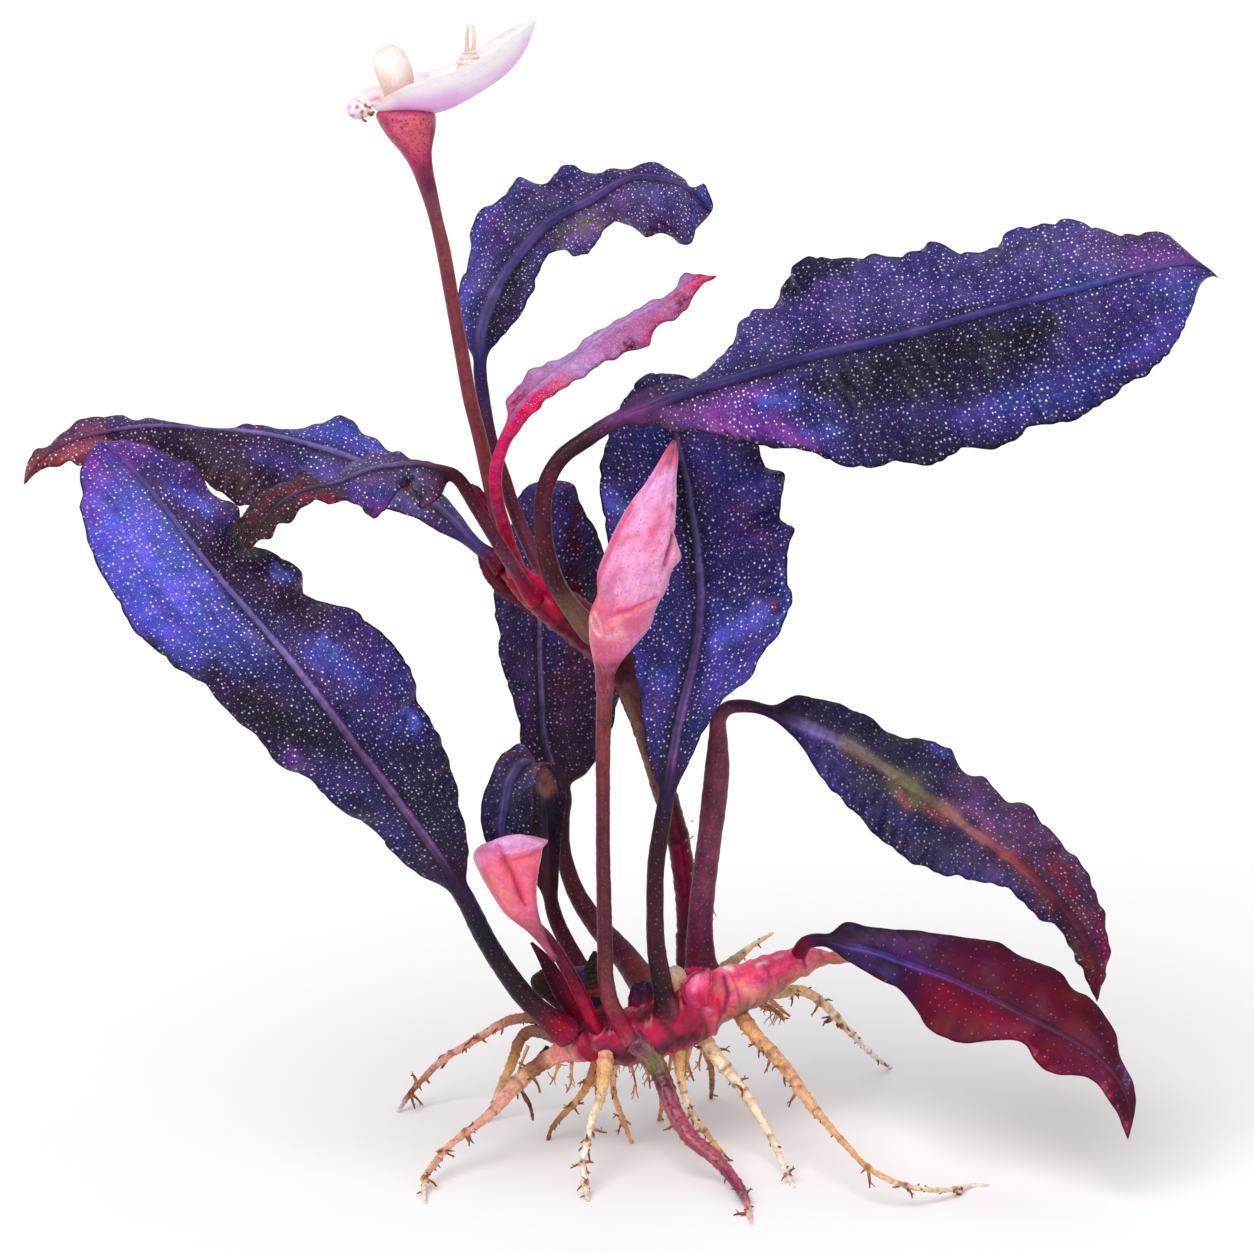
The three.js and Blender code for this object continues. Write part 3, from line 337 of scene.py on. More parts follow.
def shell(rings, tint, lie, dots):
    """A closed surface through rings of points, with a middle point that closes each end.

    rings has the shape (stations, points round the ring, 3), in mm. Its faces look outward when each ring
    runs anticlockwise round the way of growth."""
    stations, around = rings.shape[:2]
    shape = (stations, around)
    fields = [rings, np.broadcast_to(tint, (*shape, 3)), np.broadcast_to(lie, (*shape, 3))]
    fields.append(np.broadcast_to(dots, shape)[..., None])
    flat = [np.vstack([f.reshape(-1, f.shape[-1]), f[0].mean(0), f[-1].mean(0)]) for f in fields]
    corner = np.arange(stations * around).reshape(shape)
    after = np.roll(corner, -1, axis=1)
    quads = np.stack([corner[:-1], after[:-1], after[1:], corner[1:]], -1).reshape(-1, 4)
    first, last = stations * around, stations * around + 1
    low = np.stack([np.full(around, first), after[0], corner[0]], -1)
    high = np.stack([np.full(around, last), corner[-1], after[-1]], -1)
    return dict(
        points=flat[0], tint=flat[1], lie=flat[2], dots=flat[3][:, 0], quads=quads,
        triangles=np.vstack([low, high]),
    )


def piece(name, shells, finish, slot, *nodes):
    """Makes one object of closed surfaces. It stands for the given solids and moves with the plant."""
    starts = np.cumsum([0] + [len(s["points"]) for s in shells])
    quads = np.vstack([s["quads"] + start for s, start in zip(shells, starts)])
    triangles = np.vstack([s["triangles"] + start for s, start in zip(shells, starts)])
    points, tint, lie = (np.vstack([s[key] for s in shells]) for key in ("points", "tint", "lie"))
    dots = np.concatenate([s["dots"] for s in shells])
    points = points + SHIFT
    points[:, 2] = np.maximum(points[:, 2], 0)

    mesh = bpy.data.meshes.new(name)
    mesh.vertices.add(len(points))
    mesh.vertices.foreach_set("co", (points * MM).ravel())
    corners = np.concatenate([quads.ravel(), triangles.ravel()])
    mesh.loops.add(len(corners))
    mesh.loops.foreach_set("vertex_index", corners)
    begins = np.concatenate([np.arange(len(quads)) * 4, len(quads) * 4 + np.arange(len(triangles)) * 3])
    mesh.polygons.add(len(begins))
    mesh.polygons.foreach_set("loop_start", begins)
    mesh.update()
    mesh.validate()
    mesh.shade_smooth()

    # the tint is given as a screen shows it, and light is mixed in linear numbers
    linear = np.where(tint <= 0.04045, tint / 12.92, ((np.clip(tint, 0, 1) + 0.055) / 1.055) ** 2.4)
    rgba = np.hstack([linear, np.ones((len(tint), 1))])
    mesh.attributes.new("tint", "FLOAT_COLOR", "POINT").data.foreach_set("color", rgba.ravel())
    mesh.attributes.new("lie", "FLOAT_VECTOR", "POINT").data.foreach_set("vector", lie.ravel())
    mesh.attributes.new("dots", "FLOAT", "POINT").data.foreach_set("value", dots)
    mesh.materials.append(finish)

    made = bpy.data.objects.new(name, mesh)
    bpy.context.collection.objects.link(made)
    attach(made, "root")
    if nodes:
        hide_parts(*nodes)
    fans = np.vstack([triangles, quads[:, :3], quads[:, [0, 2, 3]]])
    a, b, c = (points[fans[:, k]] for k in range(3))
    volume = (a * np.cross(b, c)).sum() / 6
    print(f"{name}: {len(quads)} faces, {volume:.1f} mm3")
    if volume <= 0:
        raise ValueError(f"{name} is inside out")
    return made

# %% [markdown]
# ## Palette
# The plant's own colours, named for what they are. A blade is not one colour: navy turns into violet blue
# and magenta along it, and the midrib, the margin and the underside each have theirs.

# %% Palette
PALETTE_TEXT = """
bright_blue 84 92 210, ultramarine 70 74 182, violet_blue 60 56 148, indigo 44 40 104, deep_violet 48 33
100, navy 34 27 64, night 22 14 32, plum 70 48 100, dark_plum 44 23 54, mulberry 80 42 80, dusk_violet 70 58
128, magenta_violet 106 44 144, orchid 138 70 150, lilac 142 122 192, rib_lilac 102 84 150, rib_mauve 118 84
134, grey_violet 88 80 124, pale_lilac 202 180 228, wine 94 20 56, burgundy 96 9 36, dark_red 58 8 24,
maroon_brown 70 28 36, leaf_brown 54 30 32, bark_brown 44 28 26, bark_tan 116 84 70, olive 104 98 58,
yellow_olive 152 142 92, rust 122 58 46, terracotta 158 98 84, orange_red 176 80 70, dusty_rose 158 84 98,
crimson 156 6 54, bright_crimson 204 10 78, rose 198 76 118, young_pink 166 96 148, young_lilac 170 130 186,
bright_violet 124 56 166, stem_maroon 88 30 46, stem_dark 48 24 34, stem_brick 124 48 58, stem_mauve 118 56
80, stem_rose 160 74 94, rhizome_pink 252 92 138, rhizome_red 216 42 86, rhizome_tan 186 114 94,
rhizome_brown 98 62 50, salmon 248 136 132, coral 248 116 138, bud_pink 238 160 204, bud_lilac 222 160 214,
bud_rose 212 92 128, bud_blush 228 128 164, cup_rose 206 90 108, cup_magenta 180 52 108, spathe_white 253
245 253, spathe_lilac 236 184 238, cream 252 242 236, peach 244 212 194, root_gold 222 168 110, root_tan 228
174 138, root_pale 246 220 188, root_white 250 238 228, root_brown 134 80 54, root_dark 56 34 28, root_pink
232 166 148, root_maroon 140 52 70, scar_grey 206 190 186
"""
PALETTE = {name: tuple(map(int, rgb)) for name, *rgb in (entry.split() for entry in PALETTE_TEXT.split(","))}
print(len(PALETTE), "colours")

# %% [markdown]
# ## Finishes
# Real leaves of this plant are satin and slightly fleshy. Two things make them alive. The tissue is
# mottled, because cells hold more or less pigment from spot to spot, and streaked along the veins or the
# fibres. Pale dots stand close together all over the blades: they are small air-filled glands under the
# skin. All of this is made from patterns of cells and noise that read the lie of the surface or the place
# in the plant, and a faint relief along the side veins catches the light.

# %% Shared shader groups
class Tree:
    """The node tree of a material or of a group, with short ways to add the nodes that are used here."""

    def __init__(self, nodes):
        self.nodes = nodes

    def add(self, kind, sockets=None, **settings):
        """Adds a node and gives its outputs. A socket takes a value, or another node's output to link."""
        made = self.nodes.nodes.new("ShaderNode" + kind)
        for key, value in settings.items():
            setattr(made, key, value)
        for key, value in (sockets or {}).items():
            self.set(made.inputs[key], value)
        return made.outputs

    def set(self, socket, value):
        if isinstance(value, bpy.types.NodeSocket):
            self.nodes.links.new(value, socket)
        else:
            socket.default_value = value

    def maths(self, operation, a, b=0.0, clamp=False):
        return self.add("Math", {0: a, 1: b}, operation=operation, use_clamp=clamp)[0]

    def step(self, value, low, high, out_low=0.0, out_high=1.0):
        """A smooth rise of the value from out_low at low to out_high at high."""
        ends = {"Value": value, "From Min": low, "From Max": high, "To Min": out_low, "To Max": out_high}
        return self.add("MapRange", ends, interpolation_type="SMOOTHSTEP")["Result"]

    def noise(self, place, scale, detail, roughness=0.5, distortion=0.0):
        values = {"Vector": place, "Scale": scale, "Detail": detail, "Roughness": roughness}
        return self.add("TexNoise", {**values, "Distortion": distortion})["Fac"]

    def mix(self, share, a, b):
        return self.add("Mix", {"Factor": share, 6: a, 7: b}, data_type="RGBA")[2]

    def in_mm(self, place):
        return self.add("VectorMath", {0: place, "Scale": 1 / MM}, operation="SCALE")[0]

    def slanted(self, lie, slant):
        """The lie with its first coordinate measured along the side veins: x - slant |y|."""
        parts = self.add("SeparateXYZ", {0: lie})
        out = self.maths("MULTIPLY", self.maths("ABSOLUTE", parts[1]), slant)
        return self.maths("SUBTRACT", parts[0], out), parts[1]


SOCKET_KINDS = dict(Lie="Vector", Place="Vector", Tint="Color", Streak="Color", Color="Color")


def socket_name(key):
    return key.replace("_", " ")


def new_group(name, build, result, **given):
    """A shared group: its sockets are named by the given keys, with a default each, and build fills it."""
    nodes = bpy.data.node_groups.new(name, "ShaderNodeTree")
    for key, default in given.items():
        kind = "NodeSocket" + SOCKET_KINDS.get(key, "Float")
        socket = nodes.interface.new_socket(socket_name(key), in_out="INPUT", socket_type=kind)
        if default is not None:
            socket.default_value = default
    kind = "NodeSocket" + SOCKET_KINDS.get(result, "Float")
    nodes.interface.new_socket(result, in_out="OUTPUT", socket_type=kind)
    start, end = nodes.nodes.new("NodeGroupInput"), nodes.nodes.new("NodeGroupOutput")
    nodes.links.new(build(Tree(nodes), start.outputs), end.inputs[result])
    return nodes


def mottle(tree, given):
    """Blotches a few mm wide and fine grain change how light and how warm a tint is."""
    mm = tree.in_mm(given["Place"])
    size = tree.maths("DIVIDE", 1.0, given["Blotch size"])
    coarse = tree.step(tree.noise(mm, size, 2.0, 0.6, 0.6), 0.3, 0.7, -1.0, 1.0)
    fine = tree.step(tree.noise(mm, 2.6, 2.0, 0.7), 0.3, 0.7, -1.0, 1.0)
    swing = tree.maths("ADD", tree.maths("MULTIPLY", coarse, given["Blotches"]),
                       tree.maths("MULTIPLY", fine, given["Grain"]))
    hue = tree.maths("ADD", 0.5, tree.maths("MULTIPLY", coarse, given["Hue swing"]))
    light = tree.maths("ADD", 1.0, swing)
    return tree.add("HueSaturation", {"Color": given["Tint"], "Hue": hue, "Value": light})["Color"]


def dots(tree, given):
    """Round dots, one in each cell of an uneven grid laid along the veins, of uneven size and brightness."""
    cells = tree.add("TexVoronoi", {"Vector": given["Lie"], "Scale": given["Per mm"], "Randomness": 0.9},
                     voronoi_dimensions="2D", feature="F1")
    chance = tree.add("SeparateColor", {"Color": cells["Color"]})
    size = tree.maths("MULTIPLY", given["Radius in mm"], tree.step(chance[0], 0.0, 1.0, 0.6, 1.35))
    away = tree.maths("DIVIDE", tree.maths("DIVIDE", cells["Distance"], given["Per mm"]), size)
    core = tree.maths("SUBTRACT", 1.0, tree.step(away, 0.78, 1.25))
    halo = tree.maths("SUBTRACT", 1.0, tree.step(away, 0.7, 2.4))
    both = tree.maths("ADD", tree.maths("MULTIPLY", core, 0.9), tree.maths("MULTIPLY", halo, 0.1))
    bright = tree.maths("MULTIPLY", both, tree.step(chance[1], 0.12, 0.85, 0.08, 1.15))
    return tree.maths("MULTIPLY", bright, given["Strength"], clamp=True)


def streaks(tree, given):
    """Long soft streaks of a second tint: noise that is stretched one way along the lie."""
    along, across = tree.slanted(given["Lie"], given["Slant"])
    stretched = tree.add("CombineXYZ", {0: tree.maths("MULTIPLY", along, given["Per mm along"]),
                                        1: tree.maths("MULTIPLY", across, given["Per mm across"])})[0]
    streaky = tree.step(tree.noise(stretched, 1.0, 4.0, 0.65), 0.44, 0.68)
    share = tree.maths("MULTIPLY", streaky, given["Strength"], clamp=True)
    return tree.mix(share, given["Tint"], given["Streak"])


def relief(tree, given):
    """The height of the skin: side veins at even steps along the lie, and pores."""
    mm = tree.in_mm(given["Place"])
    wander = tree.maths("MULTIPLY", tree.noise(mm, 0.35, 1.0), 1.6)
    along = tree.slanted(given["Lie"], given["Slant"])[0]
    phase = tree.maths("DIVIDE", tree.maths("ADD", along, wander), given["Vein step in mm"])
    veins = tree.maths("SINE", tree.maths("MULTIPLY", phase, 2 * math.pi))
    return tree.maths("ADD", tree.maths("MULTIPLY", veins, given["Veins"]),
                      tree.maths("MULTIPLY", tree.noise(mm, 3.2, 3.0, 0.6), given["Pores"]))


MOTTLE = new_group("mottled_tissue", mottle, "Color", Tint=None, Place=None, Blotches=0.2, Grain=0.1,
                   Blotch_size=3.0, Hue_swing=0.01)
DOTS = new_group("pale_dots", dots, "Mask", Lie=None, Strength=1.0, Per_mm=1.4, Radius_in_mm=0.1)
STREAKS = new_group("streaked_tissue", streaks, "Color", Lie=None, Tint=None, Streak=None, Strength=0.3,
                    Per_mm_along=0.2, Per_mm_across=1.2, Slant=0.0)
RELIEF = new_group("skin_relief", relief, "Height", Lie=None, Place=None, Veins=0.5, Pores=0.5,
                   Vein_step_in_mm=1.7, Slant=0.0)
print("groups:", MOTTLE.name, STREAKS.name, DOTS.name, RELIEF.name)

# %% [markdown]
# Every finish starts from the painted tint. What differs is how strong the blotches and the grain are,
# how large and how pale the dots are, how deep the relief is and how wet the surface looks. Flowers,
# young roots and the young leaf let some light into their tissue, so it glows a little from inside. The
# sheet's first entry, plain, holds for every finish that says nothing else, and the second, leaf, for the
# leaves. A row of streaks has its red, green and blue, its strength, and how often it changes in a mm
# along and across.

# %% Finishes of the pieces
FINISH_SHEET = read_sheet("""
plain
blotches = 0.2 grain = 0.1 blotch_size = 3.0 hue_swing = 0.006 dot_size = 0.1 dots_per_mm = 1.4
fine_dots = 0.0 veins = 0.5 pores = 0.5 vein_step = 1.7 slant = 0.0 bump = 0.05 specular = 0.2 coat = 0.0
glow = 0.0 glow_colour = 1.0 0.5 0.5

leaf
specular = 0.12 hue_swing = 0.012 bump = 0.06 veins = 0.3 slant = 0.55

leaf_blue
roughness = 0.4 blotches = 0.22 blotch_size = 5.0 dot_colour = 0.86 0.78 1.0 dot_size = 0.082
dots_per_mm = 1.55 fine_dots = 0.16
streaks = 0.012 0.008 0.02 0.4 0.07 0.5

leaf_dark
roughness = 0.42 blotches = 0.28 grain = 0.14 dot_colour = 0.86 0.78 1.0 dot_size = 0.08 dots_per_mm = 1.55
fine_dots = 0.14
streaks = 0.012 0.008 0.02 0.4 0.07 0.5

leaf_red
roughness = 0.46 blotches = 0.14 grain = 0.08 dot_colour = 0.62 0.34 0.6 dots_per_mm = 0.9 dot_size = 0.075
veins = 0.05 pores = 0.3
streaks = 0.03 0.002 0.012 0.3 0.05 0.4

leaf_pink
roughness = 0.36 blotches = 0.14 grain = 0.16 blotch_size = 1.5 dot_colour = 0.9 0.7 0.9 dot_size = 0.042
dots_per_mm = 2.7 glow = 0.06
streaks = 0.4 0.07 0.22 0.4 1.0 0.3

stem_crimson
roughness = 0.34 blotches = 0.3 grain = 0.16 blotch_size = 1.6 dot_colour = 0.45 0.04 0.1 dot_size = 0.05
dots_per_mm = 1.5 specular = 0.08 coat = 0.14 veins = 0.15 bump = 0.08
streaks = 0.06 0.002 0.01 0.5 0.12 1.1

stem_maroon
roughness = 0.4 blotches = 0.26 grain = 0.2 blotch_size = 1.4 dot_colour = 0.34 0.15 0.12 dot_size = 0.06
dots_per_mm = 2.2 coat = 0.08 veins = 0.15 bump = 0.06
streaks = 0.035 0.008 0.012 0.5 0.12 1.0

rhizome_pink
roughness = 0.26 blotches = 0.22 grain = 0.12 blotch_size = 2.6 specular = 0.1 coat = 0.42 veins = 0.0
bump = 0.08 glow = 0.06
streaks = 0.36 0.008 0.05 0.45 0.12 0.7

cup
roughness = 0.4 grain = 0.18 blotch_size = 1.4 dot_colour = 0.24 0.012 0.04 dot_size = 0.11
dots_per_mm = 1.9 coat = 0.1 veins = 0.15
streaks = 0.05 0.01 0.014 0.25 0.12 1.0

spathe_white
roughness = 0.42 blotches = 0.03 grain = 0.02 streaks = 0.8 0.5 0.8 0.2 0.16 1.3 veins = 0.25
vein_step = 1.2 pores = 0.2 glow = 0.4 glow_colour = 1.0 0.8 0.98

spathe_pink
roughness = 0.36 blotches = 0.14 grain = 0.08 blotch_size = 1.4 streaks = 0.6 0.12 0.3 0.5 0.4 1.3
dot_colour = 0.6 0.08 0.18 dot_size = 0.06 dots_per_mm = 2.0 veins = 0.2 glow = 0.08
glow_colour = 1.0 0.5 0.7 coat = 0.12

spadix_cream
roughness = 0.5 blotches = 0.04 grain = 0.04 blotch_size = 0.8 veins = 0.0 glow = 0.2
glow_colour = 1.0 0.8 0.7

root_pale
roughness = 0.48 blotches = 0.16 grain = 0.16 blotch_size = 1.4 dot_colour = 0.2 0.08 0.04 dot_size = 0.05
dots_per_mm = 1.0 veins = 0.3 vein_step = 0.9 bump = 0.08 glow = 0.1
streaks = 0.3 0.12 0.05 0.28 0.16 1.0

root_maroon
roughness = 0.3 blotches = 0.28 grain = 0.16 blotch_size = 1.5 coat = 0.3 veins = 0.0 bump = 0.08
streaks = 0.68 0.26 0.32 0.5 0.1 1.0

stub_brown
roughness = 0.6 blotches = 0.4 grain = 0.3 blotch_size = 0.9 veins = 0.4 vein_step = 0.6 pores = 1.0
bump = 0.2
""")
GLOW_REACH = 1.2 * MM
FINER_SIZE, CLOSER = 0.6, 1.7


def plant_finish(name, look):
    """A plant surface: painted tint, mottled and streaked, with pale or dark dots and a fine relief."""
    material = bpy.data.materials.new(name)
    material.use_nodes = True
    tree = Tree(material.node_tree)

    def painted(key, output):
        return tree.add("Attribute", attribute_name=key)[output]

    def use(group, **values):
        """Adds a shared group; the names of its sockets are given with _ for each space."""
        sockets = {socket_name(key): value for key, value in values.items()}
        return tree.add("Group", sockets, node_tree=group)[0]

    tint, lie = painted("tint", "Color"), painted("lie", "Vector")
    place = tree.add("TexCoord")["Object"]
    base = use(MOTTLE, Tint=tint, Place=place, Blotches=look["blotches"], Grain=look["grain"],
               Blotch_size=look["blotch_size"], Hue_swing=look["hue_swing"])
    if "streaks" in look:
        *streak, strength, along, across = look["streaks"]
        base = use(STREAKS, Lie=lie, Tint=base, Streak=(*streak, 1), Strength=strength, Per_mm_along=along,
                   Per_mm_across=across)
    if "dot_colour" in look:
        strength = painted("dots", "Fac")
        layers = [(look["dot_size"], look["dots_per_mm"], 1.0)]
        if look["fine_dots"]:
            layers.append((look["dot_size"] * FINER_SIZE, look["dots_per_mm"] * CLOSER, look["fine_dots"]))
        for size, per_mm, share in layers:
            mask = use(DOTS, Lie=lie, Strength=tree.maths("MULTIPLY", strength, share), Per_mm=per_mm,
                       Radius_in_mm=size)
            base = tree.mix(mask, base, (*look["dot_colour"], 1))
    height = use(RELIEF, Lie=lie, Place=place, Veins=look["veins"], Pores=look["pores"],
                 Vein_step_in_mm=look["vein_step"], Slant=look["slant"])
    bumps = tree.add("Bump", {"Strength": 0.8, "Distance": look["bump"] * MM, "Height": height})["Normal"]
    sockets = {
        "Base Color": base, "Normal": bumps, "Specular IOR Level": look["specular"],
        "Roughness": tree.step(height, -0.6, 1.2, look["roughness"] - 0.07, look["roughness"] + 0.1),
        "Coat Weight": look["coat"], "Coat Roughness": 0.2, "Subsurface Weight": look["glow"],
        "Subsurface Radius": look["glow_colour"], "Subsurface Scale": GLOW_REACH,
    }
    shader = material.node_tree.nodes["Principled BSDF"]
    for key, value in sockets.items():
        tree.set(shader.inputs[key], value)
    return material


PLAIN, LEAF = FINISH_SHEET.pop("plain"), FINISH_SHEET.pop("leaf")
FINISHES = {}
for name, look in FINISH_SHEET.items():
    family = PLAIN | LEAF if name.startswith("leaf_") else PLAIN
    FINISHES[name] = plant_finish(f"{name}_skin", family | look)
print("finishes:", ", ".join(FINISHES))

# %% [markdown]
# ## Outlines of the leaves
# Each leaf has a line from the foot of its petiole to the tip of the blade, and the two edges of the
# blade, left and right as one looks along the way it grows. The depths say how far back the line lies,
# the radii how thick the petiole is, and left_back and right_back how much further back the edges lie
# than the midrib.

# %% Outlines of the leaves
LEAVES = read_sheet("""
leaf_left_big
blade_from = 5 radii = 1.5 1.35 1.25 1.2 1.15 left_back = 1 right_back = 10
line = 568,1033 552,1021 528,1000 505,970 485,938 463,895 415,825 350,740 285,655 215,573 150,490 120,457
97,440
depths = -5 -11 -18 -24 -27 -27 -25 -20 -14
left = 455,899 440,890 410,868 388,848 375,830 345,812 325,795 312,780 282,767 270,755 250,730 228,712
205,685 178,668 157,650 138,635 122,607 112,590 95,560 86,532 80,508 83,495 79,478 86,458 95,444
right = 472,897 473,878 467,845 461,810 453,775 441,742 432,722 421,708 415,683 404,662 388,640 368,622
350,608 330,604 305,594 300,572 285,560 262,548 240,541 238,508 213,495 196,466 172,456 140,443 106,440

leaf_left_far
blade_from = 2 depths = -1 3 6 7 7 4 -2 radii = 0.95 0.9 0.85 left_back = -5 right_back = 6
line = 503,570 492,557 478,547 455,525 430,503 400,483 370,468 345,457 280,438 210,429 150,427 100,434
63,446 38,462 24,484
left = 473,553 455,541 432,528 400,512 370,505 335,499 300,488 275,491 250,505 232,500 215,491 200,477
182,461 150,453 115,447 92,459 80,466 60,463 42,468 25,486
right = 483,543 468,524 450,502 425,478 400,458 375,440 350,422 335,418 318,424 290,428 250,426 215,430
185,424 150,419 115,417 88,419 68,428 48,443 30,458 23,484

leaf_left_withered
blade_from = 5 depths = -3 -8 -9 -10 -14 -20 -26 radii = 0.95 0.85 0.8 0.8 left_back = -4 right_back = 5
line = 536,600 528,590 512,565 495,538 476,507 456,477 430,468 400,466 365,473 335,485 305,492 280,506
260,528 246,547
left = 451,483 445,492 435,502 418,507 408,487 395,495 385,507 365,513 355,503 338,505 318,503 303,508
290,517 280,529 265,538 248,548
right = 459,470 430,462 405,456 378,455 352,463 332,477 315,481 300,474 286,480 270,486 256,500 244,516
238,532 244,546

leaf_top
blade_from = 7 depths = 0 4 7 10 12 13 12 9 4 radii = 1.0 0.85 0.8 0.8 left_back = 3 right_back = -4
line = 555,592 546,577 530,547 515,512 503,475 491,440 484,402 480,365 486,322 507,275 540,232 585,203
635,178 676,183 712,211
left = 472,370 466,345 460,320 458,295 461,278 470,266 472,250 471,235 483,208 497,202 510,187 520,178
533,182 548,183 562,166 573,165 585,172 620,170 655,163 683,178 692,186 705,185 714,200 714,209
right = 487,364 492,350 505,333 518,315 530,298 537,280 543,262 555,251 566,250 574,256 590,251 605,228
618,222 632,227 648,238 662,233 680,242 690,240 703,221 711,214

leaf_young_pink
blade_from = 5 depths = -3 -4 -4 -4 -3 0 2 3 radii = 0.95 0.85 0.8 0.75 left_back = 3 right_back = -2
line = 517,574 513,560 505,530 497,500 496,470 503,445 518,412 548,382 580,357 620,327 665,300 698,281
717,276
left = 497,442 507,420 508,400 523,382 530,370 545,365 562,357 578,348 590,333 615,322 645,305 672,292
685,273 697,276 716,275
right = 511,446 523,426 537,410 550,398 575,380 592,371 618,357 630,352 645,348 658,326 672,320 692,300
697,291 707,283 717,277

leaf_right_big
blade_from = 10 radii = 1.3 1.15 1.05 1.0 1.0 left_back = 11 right_back = -6
line = 596,634 588,627 573,610 558,587 548,560 543,530 543,500 549,477 562,457 585,440 615,421 665,401
740,378 820,355 900,337 1000,309 1100,284 1185,263 1205,266 1219,278
depths = -2 -8 -7 -5 -6 -9 -14 -19 -23 -26
left = 606,414 625,395 660,384 700,375 728,350 748,312 775,308 787,280 808,257 835,260 865,255 905,256
935,243 965,254 993,248 1015,229 1040,227 1070,220 1100,230 1130,236 1165,233 1188,255 1203,262
right = 619,428 635,432 655,425 675,433 695,430 740,442 790,449 815,452 832,462 870,467 903,461 930,465
965,448 1000,447 1030,428 1070,420 1100,405 1135,380 1160,362 1180,335 1195,300 1198,285 1206,271

leaf_centre
blade_from = 7 depths = -2 -8 -8 -6 -4 -1 3 7 12 radii = 1.45 1.2 1.05 1.05 1.0 left_back = -2
right_back = -3
line = 671,1022 668,1012 662,985 656,945 655,905 656,865 661,830 666,800 671,765 680,718 692,668 700,620
700,572 693,515 682,460 668,410 656,374
left = 658,800 652,775 645,735 640,695 634,660 625,620 615,578 608,535 602,502 600,478 603,455 613,425
630,392 645,374 653,371
right = 674,800 688,765 707,725 730,693 748,682 758,659 777,636 792,595 786,577 790,545 793,528 780,519
781,498 785,474 768,468 757,445 735,410 705,386 680,375 661,370

leaf_right_drooping
blade_from = 11 depths = 2 3 5 6 4 -3 -11 -18 -23 left_back = 5 right_back = -4
line = 704,985 701,962 700,930 703,890 708,850 713,810 717,770 718,738 719,718 728,708 745,706 762,709
800,724 860,753 920,793 980,838 1035,880 1075,925 1094,965 1097,1002
radii = 2.1 1.6 1.5 1.5 1.55 1.0 0.7
left = 762,701 795,695 820,699 845,706 865,715 893,735 935,742 950,750 965,772 985,778 1008,802 1025,806
1052,833 1078,860 1090,880 1106,925 1108,950 1104,978 1099,1001
right = 763,717 785,730 800,745 825,782 855,812 882,840 912,863 960,877 1005,888 1020,898 1033,915 1060,930
1080,965 1095,1001

leaf_right_red
blade_from = 2 depths = 7 3 -3 -9 -15 -20 -23 radii = 1.0 0.9 0.8 left_back = 4 right_back = -4
line = 797,957 806,943 822,940 848,946 880,955 920,969 960,985 1000,1004 1040,1024 1075,1044 1102,1063
1120,1085 1129,1112 1128,1140
left = 818,930 830,924 850,922 870,927 920,931 960,937 1000,943 1018,955 1060,972 1072,988 1090,998
1115,1032 1120,1055 1135,1090 1135,1110 1129,1139
right = 822,949 840,957 880,980 900,990 915,1008 928,1028 945,1038 962,1043 1010,1040 1025,1045 1035,1060
1050,1073 1090,1079 1115,1110 1127,1139

leaf_back_dark
blade_from = 7 depths = 2 11 16 18 18 17 16 18 radii = 2.1 1.5 1.05 0.95 left_back = -2 right_back = 3
line = 658,1010 640,978 625,957 597,925 575,890 563,850 562,818 564,795 552,768 543,735 540,690 538,640
540,590 545,535 549,482
left = 557,797 538,783 525,760 518,718 509,688 498,650 499,630 495,610 495,585 503,550 514,515 523,490
538,479
right = 571,793 590,768 605,745 618,695 617,655 612,615 606,570 598,535 583,508 572,484 558,478

leaf_curled_small
blade_from = 5 depths = -1 4 6 6 5 2 -4 -8 -9 radii = 1.3 1.1 1.0 0.9 left_back = 0 right_back = 0 bow = 0.1
line = 606,1018 593,990 580,966 568,945 557,922 551,900 550,870 549,830 546,795 538,770 523,764 511,778
505,802 502,828 501,850
left = 558,900 559,870 562,830 566,795 563,772 552,763 540,770 534,792 533,820 527,840 505,852
right = 541,900 532,870 527,838 527,805 528,768 519,745 500,757 490,778 482,800 481,822 486,842 498,852
""")
print(len(LEAVES), "leaves")

# %% [markdown]
# ## Colours of the leaves
# The tints run along the blade from its base (0) to its tip (1), one row for each half, one for the
# midrib and one for the underside. Marks are spots and streaks that only one place has: a blue patch, a
# dark fold, a brown torn bit.

